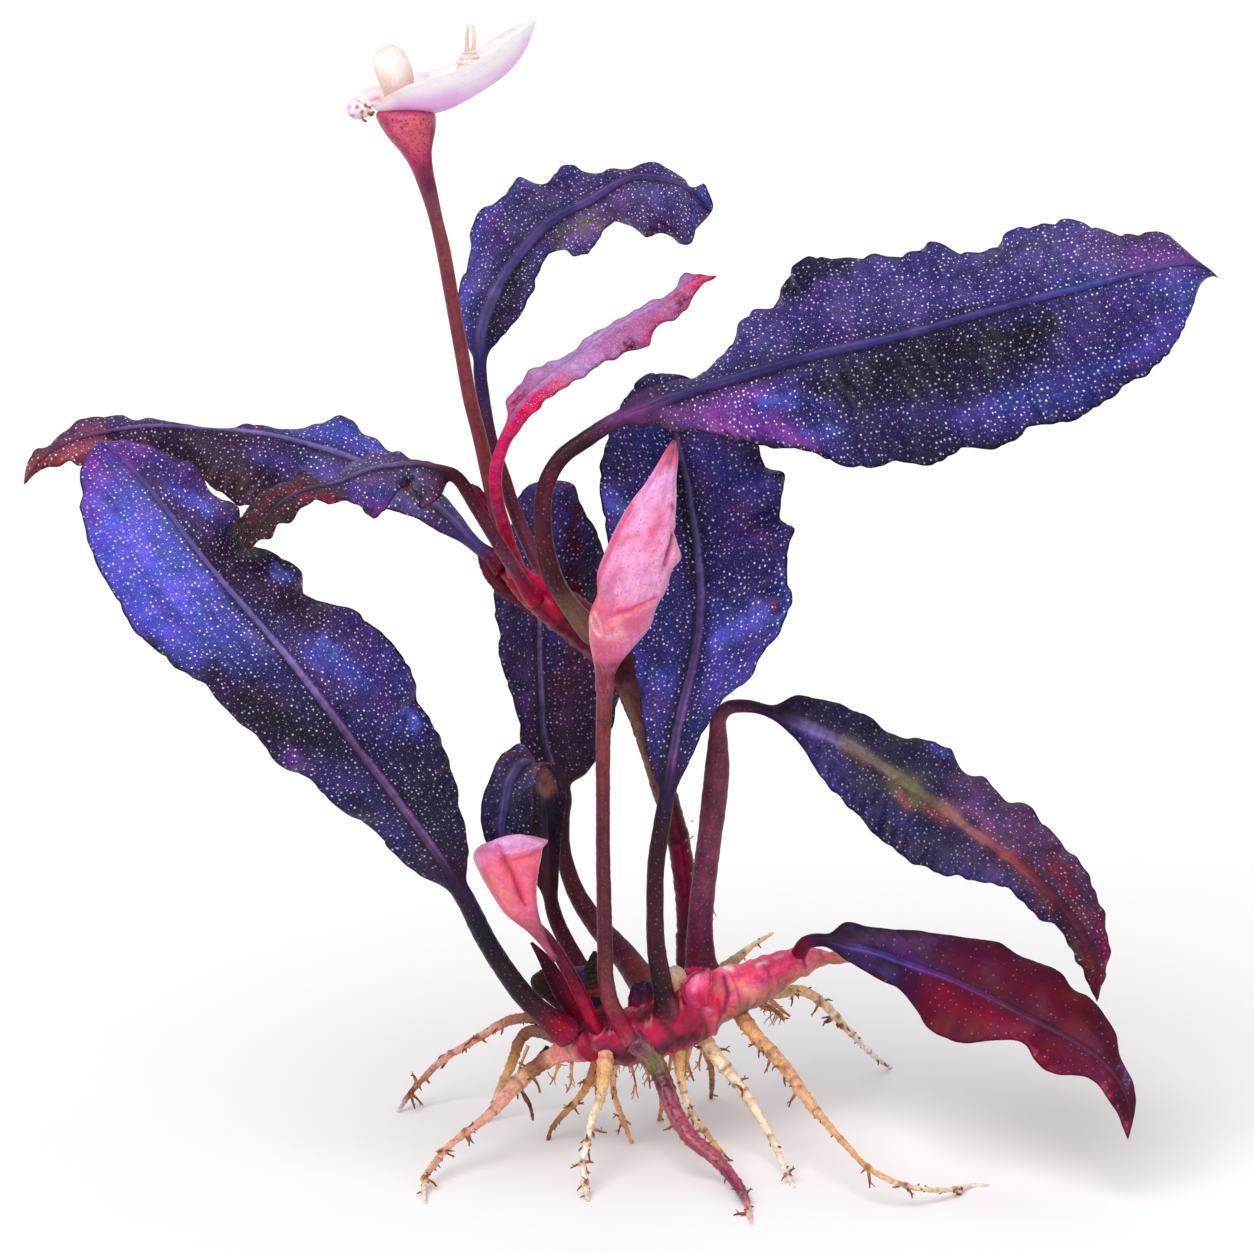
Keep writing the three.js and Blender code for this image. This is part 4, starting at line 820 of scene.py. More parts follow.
# %% Colours of the leaves
# In these sheets, shade sets painted shade on both sides of the midrib, and shadow and the rib's light set a
# painted shadow line and a painted highlight along it. The wide grey-violet midrib of leaf_curled_small is
# partly its midrib colour and partly a painted sheen.
LEAF_LOOKS = read_sheet("""
plain
ripple = 1.7 36 crinkle = 0.8 frill = 0.8 flare = 0.3 band = 0.55 shade = 0.35 rib_strength = 0.85
shadow_side = -1 shadow = 0.75 rib_light = 0.35 margin = maroon_brown margin_strength = 0.7 dots = 1.0
finer = 1.0

leaf_left_big
under = 0 dark_plum, 1 leaf_brown band = 0.7 ripple = 1.3 42 margin = night
left = 0 dark_plum, 0.12 navy, 0.25 indigo, 0.38 navy, 0.5 indigo, 0.62 ultramarine, 0.85 ultramarine, 0.94
violet_blue, 1 magenta_violet
right = 0 dark_plum, 0.12 navy, 0.22 navy, 0.34 deep_violet, 0.5 plum, 0.68 dark_plum, 0.8 plum, 0.9
deep_violet, 1 magenta_violet
rib = 0 mulberry, 0.15 rib_mauve, 0.35 rib_mauve, 0.5 lilac, 0.75 rib_lilac, 0.88 dusk_violet, 1
magenta_violet
petiole = 0 stem_brick, 0.05 crimson, 0.12 burgundy, 0.22 stem_maroon, 0.35 stem_dark, 0.75 night, 1
dark_plum
petiole_marks = 556,1024 578,1038: 9 crimson 0.6
marks = 86,452 100,480 92,510: 16 magenta_violet 0.9; 150,450 186,480 204,505: 13 magenta_violet 0.55;
112,436 134,450: 9 bright_violet 0.8; 130,472 146,484 160,500: 11 plum 0.7; 100,500 140,560 180,610: 22
bright_blue 0.65; 165,470 205,505 228,528: 13 deep_violet 0.8; 196,500 208,512: 9 bright_blue 0.7; 172,488
186,500: 7 ultramarine 0.6; 236,545 272,580 312,622: 18 dark_plum 0.8; 276,567 286,577: 9 bright_blue 0.9;
228,604 258,624 284,644: 18 dusk_violet 0.7; 168,616 196,640 222,658: 14 ultramarine 0.9; 250,634 270,650: 8
lilac 0.4; 150,648 172,666 196,686: 9 navy 0.8; 212,676 236,700 262,728: 17 dark_plum 0.85; 252,700 292,728
338,760: 20 night 0.9; 262,690 276,700: 12 mulberry 0.5; 288,756 312,768: 9 magenta_violet 0.7; 330,764
366,806 394,832: 18 indigo 0.7; 352,800 372,816: 10 night 0.6; 310,650 334,664 362,680: 13 ultramarine 0.7;
322,640 336,652: 7 bright_blue 0.7; 346,612 372,646 386,676: 13 deep_violet 0.9; 384,652 404,684: 9
violet_blue 0.6; 408,712 416,726: 8 bright_blue 0.95; 396,728 414,738: 9 ultramarine 0.6; 410,738 414,748: 4
night 0.9; 396,752 424,800 440,850: 15 navy 0.8; 262,545 285,554: 6 leaf_brown 0.9; 226,530 240,545: 4 night
0.8; 420,850 455,896: 10 grey_violet 0.35
late_marks = 338,706 346,716: 2.5 night 0.9; 400,792 408,806: 2.5 night 0.8; 360,740 362,748: 2.0 night 0.7

leaf_left_far
margin = dark_red ripple = 0.7 40
left = 0 stem_maroon, 0.2 grey_violet, 0.35 dusk_violet, 0.5 dark_plum, 0.7 dark_plum, 0.85 wine, 1 rust
right = 0 grey_violet, 0.2 dusk_violet, 0.35 violet_blue, 0.5 plum, 0.75 plum, 0.88 mulberry, 1 rust
rib = 0 grey_violet, 0.4 lilac, 0.7 rib_lilac, 0.9 mulberry, 1 rust
under = 0 plum, 0.4 leaf_brown, 0.8 wine, 1 rust
petiole = 0 burgundy, 0.5 wine, 0.8 plum, 1 dusk_violet
marks = 96,440 60,462 28,482: 13 stem_rose 0.8; 84,428 100,436: 7 rose 0.35; 175,466 230,484 280,494: 11
leaf_brown 0.9; 196,470 214,480: 7 bark_brown 0.8; 300,426 345,432 372,446: 12 ultramarine 0.75; 250,432
290,436: 8 violet_blue 0.5; 250,452 290,466 330,472: 7 violet_blue 0.6; 120,428 180,428: 9 plum 0.6; 400,505
450,530 480,552: 9 violet_blue 0.5

leaf_left_withered
ripple = 1.2 24 margin = dark_red dots = 0.8 frill = 1.2
left = 0 wine, 0.2 grey_violet, 0.45 plum, 0.6 mulberry, 0.75 leaf_brown, 1 bark_brown
right = 0 wine, 0.2 plum, 0.45 grey_violet, 0.6 plum, 0.75 leaf_brown, 1 bark_brown
rib = 0 wine, 0.3 grey_violet, 0.6 plum, 1 leaf_brown
under = 0 wine, 0.5 dark_red, 1 leaf_brown
petiole = 0 crimson, 0.1 crimson, 0.3 stem_mauve, 0.6 stem_maroon, 1 dark_red
petiole_marks = 520,588 534,600: 9 crimson 0.8
marks = 346,488 388,498: 9 violet_blue 0.6; 356,500 380,508: 8 magenta_violet 0.6; 404,482 420,504: 6 night
0.9; 286,476 334,500: 12 dark_red 0.85; 296,490 330,505: 6 crimson 0.6; 240,490 262,530: 16 leaf_brown 0.8;
280,482 262,510: 7 wine 0.6; 420,462 450,478: 8 dark_plum 0.6

leaf_top
band = 0.95 finer = 1.25 ripple = 1.3 34 shadow_side = 1 margin = night
left = 0 deep_violet, 0.2 violet_blue, 0.35 dusk_violet, 0.5 grey_violet, 0.8 dusk_violet, 1 dusk_violet
right = 0 deep_violet, 0.2 plum, 0.4 dusk_violet, 0.6 rib_mauve, 0.8 dusk_violet, 1 plum
rib = 0 grey_violet, 0.3 rib_lilac, 0.5 dusk_violet, 0.8 plum, 1 deep_violet
under = 0 wine, 0.5 leaf_brown, 1 olive
petiole = 0 salmon, 0.12 stem_mauve, 0.6 stem_maroon, 1 deep_violet
marks = 468,310 486,260 524,222 580,196: 26 grey_violet 0.4; 474,252 478,226 492,204: 11 ultramarine 0.6;
488,212 500,240: 14 magenta_violet 0.45; 462,292 460,330 470,360: 10 bright_blue 0.6; 508,186 520,182: 9
ultramarine 0.8; 560,172 575,170: 8 violet_blue 0.7; 520,196 560,184 600,180: 12 deep_violet 0.6; 520,216
560,206 604,200: 11 dusk_violet 0.7; 610,216 650,214 680,224: 13 mulberry 0.3; 704,188 700,200: 9
ultramarine 0.7; 694,220 700,228: 7 violet_blue 0.8; 645,176 690,190: 7 grey_violet 0.4; 556,240 574,226
592,219: 4 olive 0.7; 600,236 582,252 560,256: 6 dusk_violet 0.7; 645,232 662,226 676,240: 4 dark_red 0.7;
520,260 510,300 492,344: 8 night 0.5; 486,340 492,300 508,262: 5 grey_violet 0.4

leaf_young_pink
band = 0.5 shade = 0.0 shadow = 0.2 rib_light = 0.0 margin = burgundy margin_strength = 0.5 dots = 0.55
frill = 0.7 ripple = 0.5 30
left = 0 bright_crimson, 0.08 rose, 0.2 young_pink, 0.36 young_lilac, 0.7 young_lilac, 1 young_pink
right = 0 bright_crimson, 0.2 bright_crimson, 0.28 rose, 0.38 young_lilac, 0.6 young_pink, 0.8 young_pink, 1
rose
rib = 0 rose, 0.25 young_lilac, 0.7 young_lilac, 1 rose
under = 0 bright_crimson, 0.5 wine, 1 rose
petiole = 0 crimson, 0.55 crimson, 0.8 bright_crimson, 1 bright_crimson
petiole_marks = 500,555 516,575: 12 bright_crimson 0.8
marks = 500,456 512,436 524,418 536,400: 6 bright_crimson 0.85; 511,419 519,403 525,394: 4 burgundy 0.7;
503,436 508,426: 5 young_pink 0.7; 600,370 618,356 634,344: 4 burgundy 0.85; 646,338 660,322: 4
bright_crimson 0.8; 628,348 640,344: 4 bark_brown 0.7; 672,312 684,298: 3.5 burgundy 0.6; 694,284 714,276: 6
bright_crimson 0.75; 530,366 560,350: 8 young_lilac 0.4; 640,310 668,290: 8 young_lilac 0.4

leaf_right_big
band = 0.85 rib_strength = 0.75 shadow_side = 1 shadow = 0.9 margin = night
left = 0 plum, 0.08 plum, 0.2 dusk_violet, 0.38 deep_violet, 0.5 dusk_violet, 0.62 indigo, 0.78 dusk_violet,
0.9 plum, 1 magenta_violet
right = 0 mulberry, 0.1 plum, 0.2 magenta_violet, 0.32 indigo, 0.5 navy, 0.65 indigo, 0.8 deep_violet, 0.93
violet_blue, 1 plum
rib = 0 navy, 0.25 indigo, 0.5 dusk_violet, 0.8 violet_blue, 1 plum
under = 0 leaf_brown, 0.3 bark_brown, 1 dark_plum
petiole = 0 bark_tan, 0.12 bark_tan, 0.3 maroon_brown, 0.6 stem_maroon, 0.85 stem_dark, 1 mulberry
marks = 790,290 815,262 845,262: 13 night 0.75; 780,330 830,310 880,296: 13 dusk_violet 0.5; 870,280 930,268
980,268: 15 indigo 0.5; 984,262 1016,250 1050,240: 13 grey_violet 0.6; 1010,232 1030,228: 7 violet_blue 0.6;
1060,290 1110,280: 12 ultramarine 0.45; 1090,246 1110,246: 10 plum 0.7; 1138,256 1160,262 1185,268: 10
bright_violet 0.6; 1188,292 1196,280: 7 ultramarine 0.6; 812,390 900,364 980,343 1050,328: 14 night 0.92;
850,398 920,384 980,368 1040,346: 20 night 0.65; 1060,350 1110,320 1150,306: 15 deep_violet 0.8; 960,422
1010,404 1080,384: 17 ultramarine 0.5; 890,412 940,408: 10 indigo 0.6; 1100,372 1140,352 1160,332: 8
ultramarine 0.5; 860,440 905,456 945,450: 10 navy 0.8; 740,426 776,428 806,438: 13 bright_violet 0.6;
790,440 812,446: 8 orchid 0.5; 764,404 788,398: 9 ultramarine 0.95; 806,396 830,404: 8 violet_blue 0.6;
636,420 690,410 720,414: 13 orchid 0.2; 704,430 722,430 742,436: 9 orchid 0.75; 808,432 832,430: 9
ultramarine 0.7; 640,430 680,434 716,440: 5 bark_brown 0.7; 716,443 760,440 800,452 840,462: 4 night 0.8
late_marks = 622,414 660,412 704,418: 9 orchid 0.45
petiole_marks = 612,418 640,413: 7 orchid 0.45
under_marks = 720,446 815,450: 12 bark_brown 0.8

leaf_centre
band = 0.72 shade = 0.5 margin = night
left = 0 plum, 0.12 indigo, 0.3 violet_blue, 0.45 indigo, 0.65 deep_violet, 0.85 indigo, 1 navy
right = 0 plum, 0.12 indigo, 0.28 violet_blue, 0.42 indigo, 0.6 deep_violet, 0.8 plum, 1 deep_violet
rib = 0 mulberry, 0.12 rib_mauve, 0.35 rib_mauve, 0.5 rib_lilac, 0.8 grey_violet, 1 navy
under = 0 stem_maroon, 1 leaf_brown
petiole = 0 bark_tan, 0.05 stem_brick, 0.13 stem_dark, 0.5 maroon_brown, 0.85 stem_dark, 1 dark_plum
petiole_marks = 673,1002 677,1020: 4 stem_rose 0.7; 646,1004 648,1014: 4 rust 0.7
marks = 606,500 628,512: 13 bright_blue 0.85; 604,452 620,470: 12 navy 0.7; 680,480 690,530 698,590: 9 night
0.8; 700,452 730,474 760,484: 18 violet_blue 0.9; 730,520 760,560 776,590: 15 deep_violet 0.7; 742,510
764,540: 8 mulberry 0.5; 716,640 742,626 764,612: 13 bright_blue 0.85; 700,600 724,612: 12 ultramarine 0.5;
656,676 670,684: 8 ultramarine 0.8; 646,700 660,706: 7 plum 0.5; 700,660 726,668: 8 violet_blue 0.6; 690,700
700,716: 8 indigo 0.5; 648,640 662,656: 10 deep_violet 0.7; 783,575 789,606 780,640: 4 ultramarine 0.9;
620,560 634,590: 10 plum 0.5; 770,600 776,612: 4 wine 0.8; 655,730 664,770: 8 dusk_violet 0.5

leaf_right_drooping
band = 1.0 ripple = 0.8 45 dots = 0.5 crinkle = 0.3 rib_strength = 0.75 shadow = 0.35 shade = 0.25
rib_light = 0.2 margin = night
left = 0 dark_plum, 0.15 navy, 0.35 navy, 0.5 plum, 0.7 mulberry, 0.9 dark_plum, 1 dark_red
right = 0 navy, 0.15 indigo, 0.3 navy, 0.5 navy, 0.62 plum, 0.8 dark_plum, 0.9 dark_red, 1 dark_red
rib = 0 grey_violet, 0.12 lilac, 0.26 grey_violet, 0.36 yellow_olive, 0.5 yellow_olive, 0.58 rust, 0.68
dusty_rose, 0.8 wine, 1 dark_red
under = 0 stem_maroon, 0.5 maroon_brown, 1 dark_red
petiole = 0 stem_brick, 0.12 wine, 0.3 stem_mauve, 0.6 stem_mauve, 0.85 stem_mauve, 1 dark_plum
marks = 760,706 780,702: 9 navy 0.7; 790,716 806,722: 8 grey_violet 0.7; 790,728 816,742 842,756: 7
dusk_violet 0.7; 824,776 846,798 872,820: 9 violet_blue 0.35; 890,812 912,832: 9 violet_blue 0.35; 934,746
954,752: 8 ultramarine 0.8; 870,724 920,744: 10 night 0.5; 966,776 1010,800 1050,838: 14 mulberry 0.6;
980,840 1020,880 1056,930: 9 dark_plum 0.6; 1060,870 1080,920 1092,970: 10 stem_brick 0.6; 1098,905 1105,950
1100,985: 4 crimson 0.7; 940,868 990,878 1020,892: 5 indigo 0.7; 1052,860 1074,896: 8 burgundy 0.6
late_marks = 846,744 880,766 912,784: 10 yellow_olive 0.55; 850,752 880,776: 4 rust 0.4; 888,782 914,800
940,806: 9 olive 0.6; 900,794 908,806: 6 orange_red 0.5; 926,806 944,822: 6 rust 0.7; 944,806 974,832
1000,852: 8 dusty_rose 0.7; 960,802 990,826: 6 rose 0.22; 1000,850 1030,878 1052,906: 7 stem_brick 0.6;
1012,850 1036,872: 5 rose 0.25; 926,778 950,796: 5 night 0.5; 966,816 978,826: 3.5 dark_plum 0.7; 870,768
884,780: 4 navy 0.6; 986,846 996,856: 3 dark_plum 0.7; 1024,862 1060,905 1084,960: 8 dark_red 0.5; 1096,890
1104,930: 4 wine 0.8

leaf_right_red
band = 0.5 flare = 0 ripple = 0.4 40 frill = 0.15 crinkle = 0.05 shadow = 0.35 shade = 0.2 margin = dark_red
dots = 0.55
left = 0 dark_plum, 0.2 dark_plum, 0.4 wine, 0.6 burgundy, 0.85 wine, 1 dark_red
right = 0 plum, 0.2 dark_plum, 0.35 burgundy, 0.6 burgundy, 0.8 wine, 1 dark_red
rib = 0 rib_lilac, 0.15 violet_blue, 0.32 magenta_violet, 0.5 mulberry, 1 burgundy
under = 0 rose, 0.6 crimson, 1 rose
petiole = 0 crimson, 0.3 burgundy, 0.6 wine, 1 dark_plum
marks = 815,928 850,926 900,934: 7 dark_plum 0.8; 890,950 930,968: 8 magenta_violet 0.6; 880,934 950,942: 8
mulberry 0.55; 960,960 1000,985 1030,1010: 14 wine 0.6; 930,990 980,1010 1020,1030: 13 crimson 0.35;
900,1000 920,1022 944,1036: 9 wine 0.7; 1010,1044 1036,1056: 6 rose 0.6; 1040,1070 1070,1082: 8 crimson 0.5;
1088,1010 1112,1050 1124,1100: 8 dark_red 0.6; 1098,1084 1112,1108 1126,1134: 5 rose 0.7; 1124,1070
1128,1090: 4 grey_violet 0.8; 836,946 870,966 896,976: 6 violet_blue 0.35; 866,938 930,946: 8 rib_mauve
0.35; 980,984 1030,1002 1070,1022: 12 burgundy 0.7; 852,942 868,948: 6 orchid 0.4

leaf_back_dark
ripple = 0.8 30 dots = 0.7 band = 0.5 margin = night
left = 0 stem_dark, 0.2 dark_plum, 0.35 plum, 0.75 plum, 1 dusk_violet
right = 0 stem_dark, 0.2 dark_plum, 0.5 mulberry, 0.7 dark_plum, 0.85 deep_violet, 1 plum
rib = 0 mulberry, 0.3 grey_violet, 0.5 lilac, 0.7 lilac, 1 deep_violet
under = 0 stem_maroon, 1 leaf_brown
petiole = 0 stem_brick, 0.3 stem_maroon, 0.6 maroon_brown, 1 stem_dark
marks = 576,505 574,540 573,592: 5 dark_red 0.95; 590,520 600,560 606,590: 8 dark_plum 0.8; 540,500 556,560:
10 plum 0.6; 520,600 512,660 516,720: 10 navy 0.6; 551,610 556,664: 9 violet_blue 0.8; 560,650 566,690: 9
dark_red 0.5; 560,700 566,740: 9 mulberry 0.6; 580,735 592,765: 8 dark_plum 0.7

leaf_curled_small
band = 1.15 ripple = 0.3 30 dots = 0.6 margin = dark_red
left = 0 stem_dark, 0.3 night, 0.5 rust, 0.6 grey_violet, 0.8 navy, 1 night
right = 0 stem_dark, 0.3 dark_plum, 0.55 grey_violet, 0.72 navy, 1 night
rib = 0 wine, 0.45 mulberry, 0.6 grey_violet, 0.85 dusk_violet, 1 indigo
under = 0 stem_dark, 0.15 dark_red, 0.35 night, 0.5 dark_plum, 1 dark_plum
petiole = 0 stem_brick, 0.4 stem_maroon, 1 dark_red
late_marks = 545,774 552,786: 8 terracotta 0.95; 539,788 546,794: 5 terracotta 0.8; 549,766 556,776 560,790:
1.3 night 0.9; 533,792 532,828: 1.2 terracotta 0.6
marks = 536,764 548,766: 6 rust 0.6; 508,752 530,756 552,758: 4 rust 0.6; 506,742 540,748: 8 plum 0.7;
488,786 484,826: 7 indigo 0.6; 500,784 502,836: 7 grey_violet 0.6; 528,800 532,850: 8 night 0.7
under_marks = 552,880 556,950: 14 dark_red 0.8; 552,810 554,860: 12 night 0.6; 545,774 552,786: 8 terracotta
0.95; 539,788 546,794: 5 terracotta 0.8; 549,766 556,776 560,790: 1.3 night 0.9
""")
PLAIN_LEAF = LEAF_LOOKS.pop("plain")
print(len(LEAF_LOOKS), "painted leaves")

# %% [markdown]
# ## How a leaf is worked out
# For every share s of the blade there is a point of the midrib and a point of either edge. The surface
# runs straight from the midrib to the edge, and rises between them in a low parabola. The margin of a
# real leaf grows faster than its middle, so it has to wave: where an outline swings out, its edge comes
# forward, and where it swings in, it falls back. Finer crinkles across the blade fade out towards the
# midrib. The blade is thickest over the midrib and thins to the margin. At its base it closes into a
# round petiole, and each ring of the petiole has as many points as a ring of the blade, so that the two
# are one skin.

# %% Leaves
BLADE_THICKNESS = 0.45
PETIOLE_STEP, BLADE_STEP = 0.5, 0.33
HALF_COLUMNS = 34
WAVE_REACH = (-0.08, -0.04, 0, 0.04, 0.08)
RUFFLE = 1.7
CLOSING = 0.05
JOINING = 0.07
VEIN_SLANT, VEIN_STEP = 0.55, 3.4
TIP_RIB = 0.2
BOW = 0.07
FOOT = 4.0
LONG_CRINKLE, SHORT_CRINKLE, FRILL_WAVE, PETIOLE_WAVE = 11.0, 5.0, 16.0, 9.0
RAGGED = 9
VEIN_WIDTH, MARGIN_WIDTH = 0.2, 0.38
UNDERSIDE_DOTS, PETIOLE_DOTS = 0.4, 0.08


def scallops(x, wave, seed):
    """Round bulges with pinched notches between them, of uneven length: from -1 in a notch to 0.9."""
    phase = x / wave + 0.45 * waviness(x, seed, 5 * wave)
    return 1.9 * np.abs(np.sin(math.pi * phase)) ** 0.7 - 1.0


def blade_edge(pixels, rib, depth_of, back, ripple, seed):
    """One edge of a blade: its depth is the midrib's, plus back in proportion to the width there, plus the
    wave that the outline's own swings ask for. Small scallops run along the outline; ripple is their height
    and their length, in pixels."""
    edge = Outline(pixels)
    length = np.linalg.norm(np.diff(edge.points, axis=0), axis=1).sum()

    def outline(s):
        place = edge.at(s)
        fade = smooth(s, 0.03, 0.15) * smooth(s, 1.0, 0.93)
        swing = ripple[0] * fade * scallops(s * length, ripple[1], seed)
        return place + unit(place - rib(s)) * swing[..., None]

    def width(s):
        return MM_PER_PIXEL * np.linalg.norm(outline(s) - rib(s), axis=-1)

    widest = width(np.linspace(0, 1, 21)).max()

    def points(s):
        mean_width = sum(width(s + step) for step in WAVE_REACH) / len(WAVE_REACH)
        depth = depth_of(s) + back * width(s) / widest + RUFFLE * (mean_width - width(s))
        return at_depth(outline(s), depth)

    return points


def leaf_shell(name):
    """The skin of one leaf: a function of the way along it and of the way round it.

    With C the midrib, E the edge of that half, U the direction square to the blade and f from 0 at the
    midrib to 1 at the edge, the middle of the blade is C + (E - C) f + U bow |E - C| 4 f (1 - f)."""
    shape, look = LEAVES[name], PLAIN_LEAF | LEAF_LOOKS[name]
    seed = sum(map(ord, name))
    line = Outline(shape["line"])
    begin = line.share_of(shape["blade_from"])

    def along(s):
        return begin + (1 - begin) * np.clip(s, 0, 1)

    def rib(s):
        return line.at(along(s))

    def depth_of(s):
        return spread(shape["depths"], along(s))

    def path(t):
        return at_depth(line.at(t), spread(shape["depths"], t))

    left = blade_edge(shape["left"], rib, depth_of, shape["left_back"], look["ripple"], seed + 5)
    right = blade_edge(shape["right"], rib, depth_of, shape["right_back"], look["ripple"], seed + 6)

    total = length_of(path)
    on_petiole = max(8, int(begin * total / PETIOLE_STEP))
    stations = np.linspace(0, 1, int((1 - begin) * total / BLADE_STEP))
    s = np.concatenate([np.zeros(on_petiole), stations])
    t = np.concatenate([np.linspace(0, begin, on_petiole, endpoint=False), along(stations)])
    on_blade = np.concatenate([np.zeros(on_petiole), np.ones(len(stations))])

    # the round section, used for the petiole, which widens at its foot
    tangent = heading(path, t)
    side, front = section_frame(tangent)
    at_base = right(np.zeros(1)) - left(np.zeros(1))
    turn = np.sign((section_frame(heading(path, np.array([begin])))[0] * at_base).sum())
    side, front = side * turn, front * turn
    radius = spread(shape["radii"], np.clip(t / begin, 0, 1))
    radius = radius * (1 + 0.04 * waviness(t * total, seed, PETIOLE_WAVE))
    radius = radius * (1 + look["flare"] * smooth(t * total, FOOT, 0.3))

    # where each point of a ring lies: across from -1 at the left edge to 1 at the right one, and its face
    u = np.linspace(-1, 1, 2 * HALF_COLUMNS + 1)
    w = np.sign(u) * np.abs(u) ** 1.4
    w = np.concatenate([w, w[-2:0:-1]])
    face = np.concatenate([np.ones(2 * HALF_COLUMNS + 1), -np.ones(2 * HALF_COLUMNS - 1)])
    angle = np.where(face > 0, math.pi * (w + 1) / 2, 2 * math.pi - math.pi * (w + 1) / 2)
    centre = path(t)[:, None]
    round_ring = centre + radius[:, None, None] * (
        front[:, None] * np.sin(angle)[:, None] - side[:, None] * np.cos(angle)[:, None])

    # the flat section, used for the blade
    a, b = left(s)[:, None], right(s)[:, None]
    normal = unit(np.cross(b[:, 0] - a[:, 0], tangent))[:, None]
    edge = np.where((w < 0)[None, :, None], a, b)
    f = np.abs(w)[None, :, None]
    width = np.linalg.norm(edge - centre, axis=-1, keepdims=True)
    middle = centre + (edge - centre) * f + normal * shape.get("bow", BOW) * width * 4 * f * (1 - f)
    distance = width * f
    station = (s * (1 - begin) * total)[:, None, None]
    vein = station - VEIN_SLANT * distance
    half = np.where(w < 0, 0, 1)[None, :, None]
    crinkle = waviness(vein + 40 * half, seed + 1, LONG_CRINKLE) * 0.4
    crinkle = crinkle + waviness(vein + 90 * half, seed + 2, SHORT_CRINKLE) * 0.1
    middle = middle + normal * crinkle * look["crinkle"] * smooth(distance, 0.5, 6.0) * (0.6 + 0.6 * f)
    frill = waviness(station + 60 * half, seed + 7, FRILL_WAVE) * look["frill"]
    middle = middle + normal * frill * smooth(f, 0.45, 1.0) * smooth(s, 0.05, 0.2)[:, None, None]
    taper = np.minimum(1, (1 - s) / 0.125)[:, None, None]
    base_rib = shape["radii"][-1]
    rib_radius = (base_rib + (TIP_RIB - base_rib) * s**0.6)[:, None, None]
    rib_bump = np.exp(-((distance / (1.15 * rib_radius)) ** 2)) * rib_radius
    rib_groove = 0.16 * np.exp(-((distance / 0.16) ** 2)) * rib_radius
    thickness = BLADE_THICKNESS / 2 * (1 - 0.85 * f**4) * (0.25 + 0.75 * taper)
    top = thickness + 0.5 * rib_bump - rib_groove
    bottom = -(thickness + 0.95 * rib_bump)
    flat_ring = middle + normal * np.where(face[None, :, None] > 0, top, bottom)

    # the two sections run into one another at the base of the blade, and the tip is closed
    joined = (smooth(s, 0, JOINING) * on_blade)[:, None, None]
    ring = blend(round_ring, flat_ring, joined)
    shut = np.clip((s - (1 - CLOSING)) / CLOSING, 0, 1)[:, None, None]
    ring = blend(ring, path(np.ones(1))[None], 1 - np.sqrt(np.clip(1 - shut**2, 0, 1)) * (1 - 0.02 * shut))

    # paint of the upper face: the two halves, the marks, painted shade beside the midrib, the midrib itself,
    # a painted shadow line along one side of it and a painted highlight along the other
    share = np.broadcast_to(s[:, None], ring.shape[:2])
    seen = seen_at(ring)
    across = np.broadcast_to((np.sign(w)[None] * distance[..., 0]), ring.shape[:2])
    halves = blend(ramp(look["left"], share), ramp(look["right"], share),
                   smooth(across, -0.25, 0.25)[..., None])
    column, row = seen[..., 0], seen[..., 1]
    ragged = [waviness(column + 1.3 * row, seed + 9, 70), waviness(row - 1.1 * column, seed + 10, 60)]
    upper = marked(halves, seen + RAGGED * np.stack(ragged, -1), look.get("marks"))
    band = look["band"] * (1 - 0.6 * share) * (1 + 0.15 * waviness(share * total, seed + 3, 4.0))
    # painted shade: a darker band on both sides of the raised midrib
    rib_side_shade = look["shade"] * np.exp(-np.abs(np.abs(across) / band - 1.6)) * smooth(share, 1.0, 0.7)
    upper = blend(upper, colour("night"), rib_side_shade[..., None])
    on_rib = np.exp(-((np.abs(across) / band) ** 6)) * look["rib_strength"]
    on_rib = on_rib * (0.85 + 0.3 * waviness(share * total, seed + 8, 7.0))
    rib_tint = ramp(look["rib"], share)
    upper = blend(upper, rib_tint, np.clip(on_rib, 0, 1)[..., None])
    # painted shadow: a dark line along the midrib on its shaded side; after it, a painted highlight of pale
    # lilac along its lit side
    lit = across * look["shadow_side"]
    shadow = np.exp(-(((lit - band * 1.05) / (band * 0.3)) ** 2)) * look["shadow"]
    upper = blend(upper, colour("night"), shadow[..., None])
    light = np.exp(-(((lit + band * 0.45) / (band * 0.3)) ** 2)) * look["rib_light"]
    upper = blend(upper, colour("pale_lilac"), (light * smooth(share, 1.0, 0.8) * 0.5)[..., None])
    from_vein = np.mod(np.broadcast_to(vein[..., 0], share.shape), VEIN_STEP) - VEIN_STEP / 2
    vein_line = np.exp(-((from_vein / VEIN_WIDTH) ** 2)) * 0.1 * smooth(np.abs(across), 0.6, 2)
    upper = marked(blend(upper, rib_tint, vein_line[..., None]), seen, look.get("late_marks"))

    # paint of the underside, the margin and the petiole
    under = blend(ramp(look["under"], share), rib_tint, 0.5 * on_rib[..., None])
    under = marked(under, seen, look.get("under_marks"))
    skin = np.where((face > 0)[None, :, None], upper, under)
    margin = smooth(width[..., 0] * (1 - f[..., 0]), MARGIN_WIDTH, 0.05) * look["margin_strength"]
    skin = blend(skin, colour(look["margin"]), margin[..., None])
    stalk = ramp(look["petiole"], np.broadcast_to((t / begin)[:, None], share.shape))
    stalk = marked(stalk, seen, look.get("petiole_marks"))
    tint = blend(stalk, skin, smooth(share, 0.0, 0.12)[..., None] * on_blade[:, None, None])

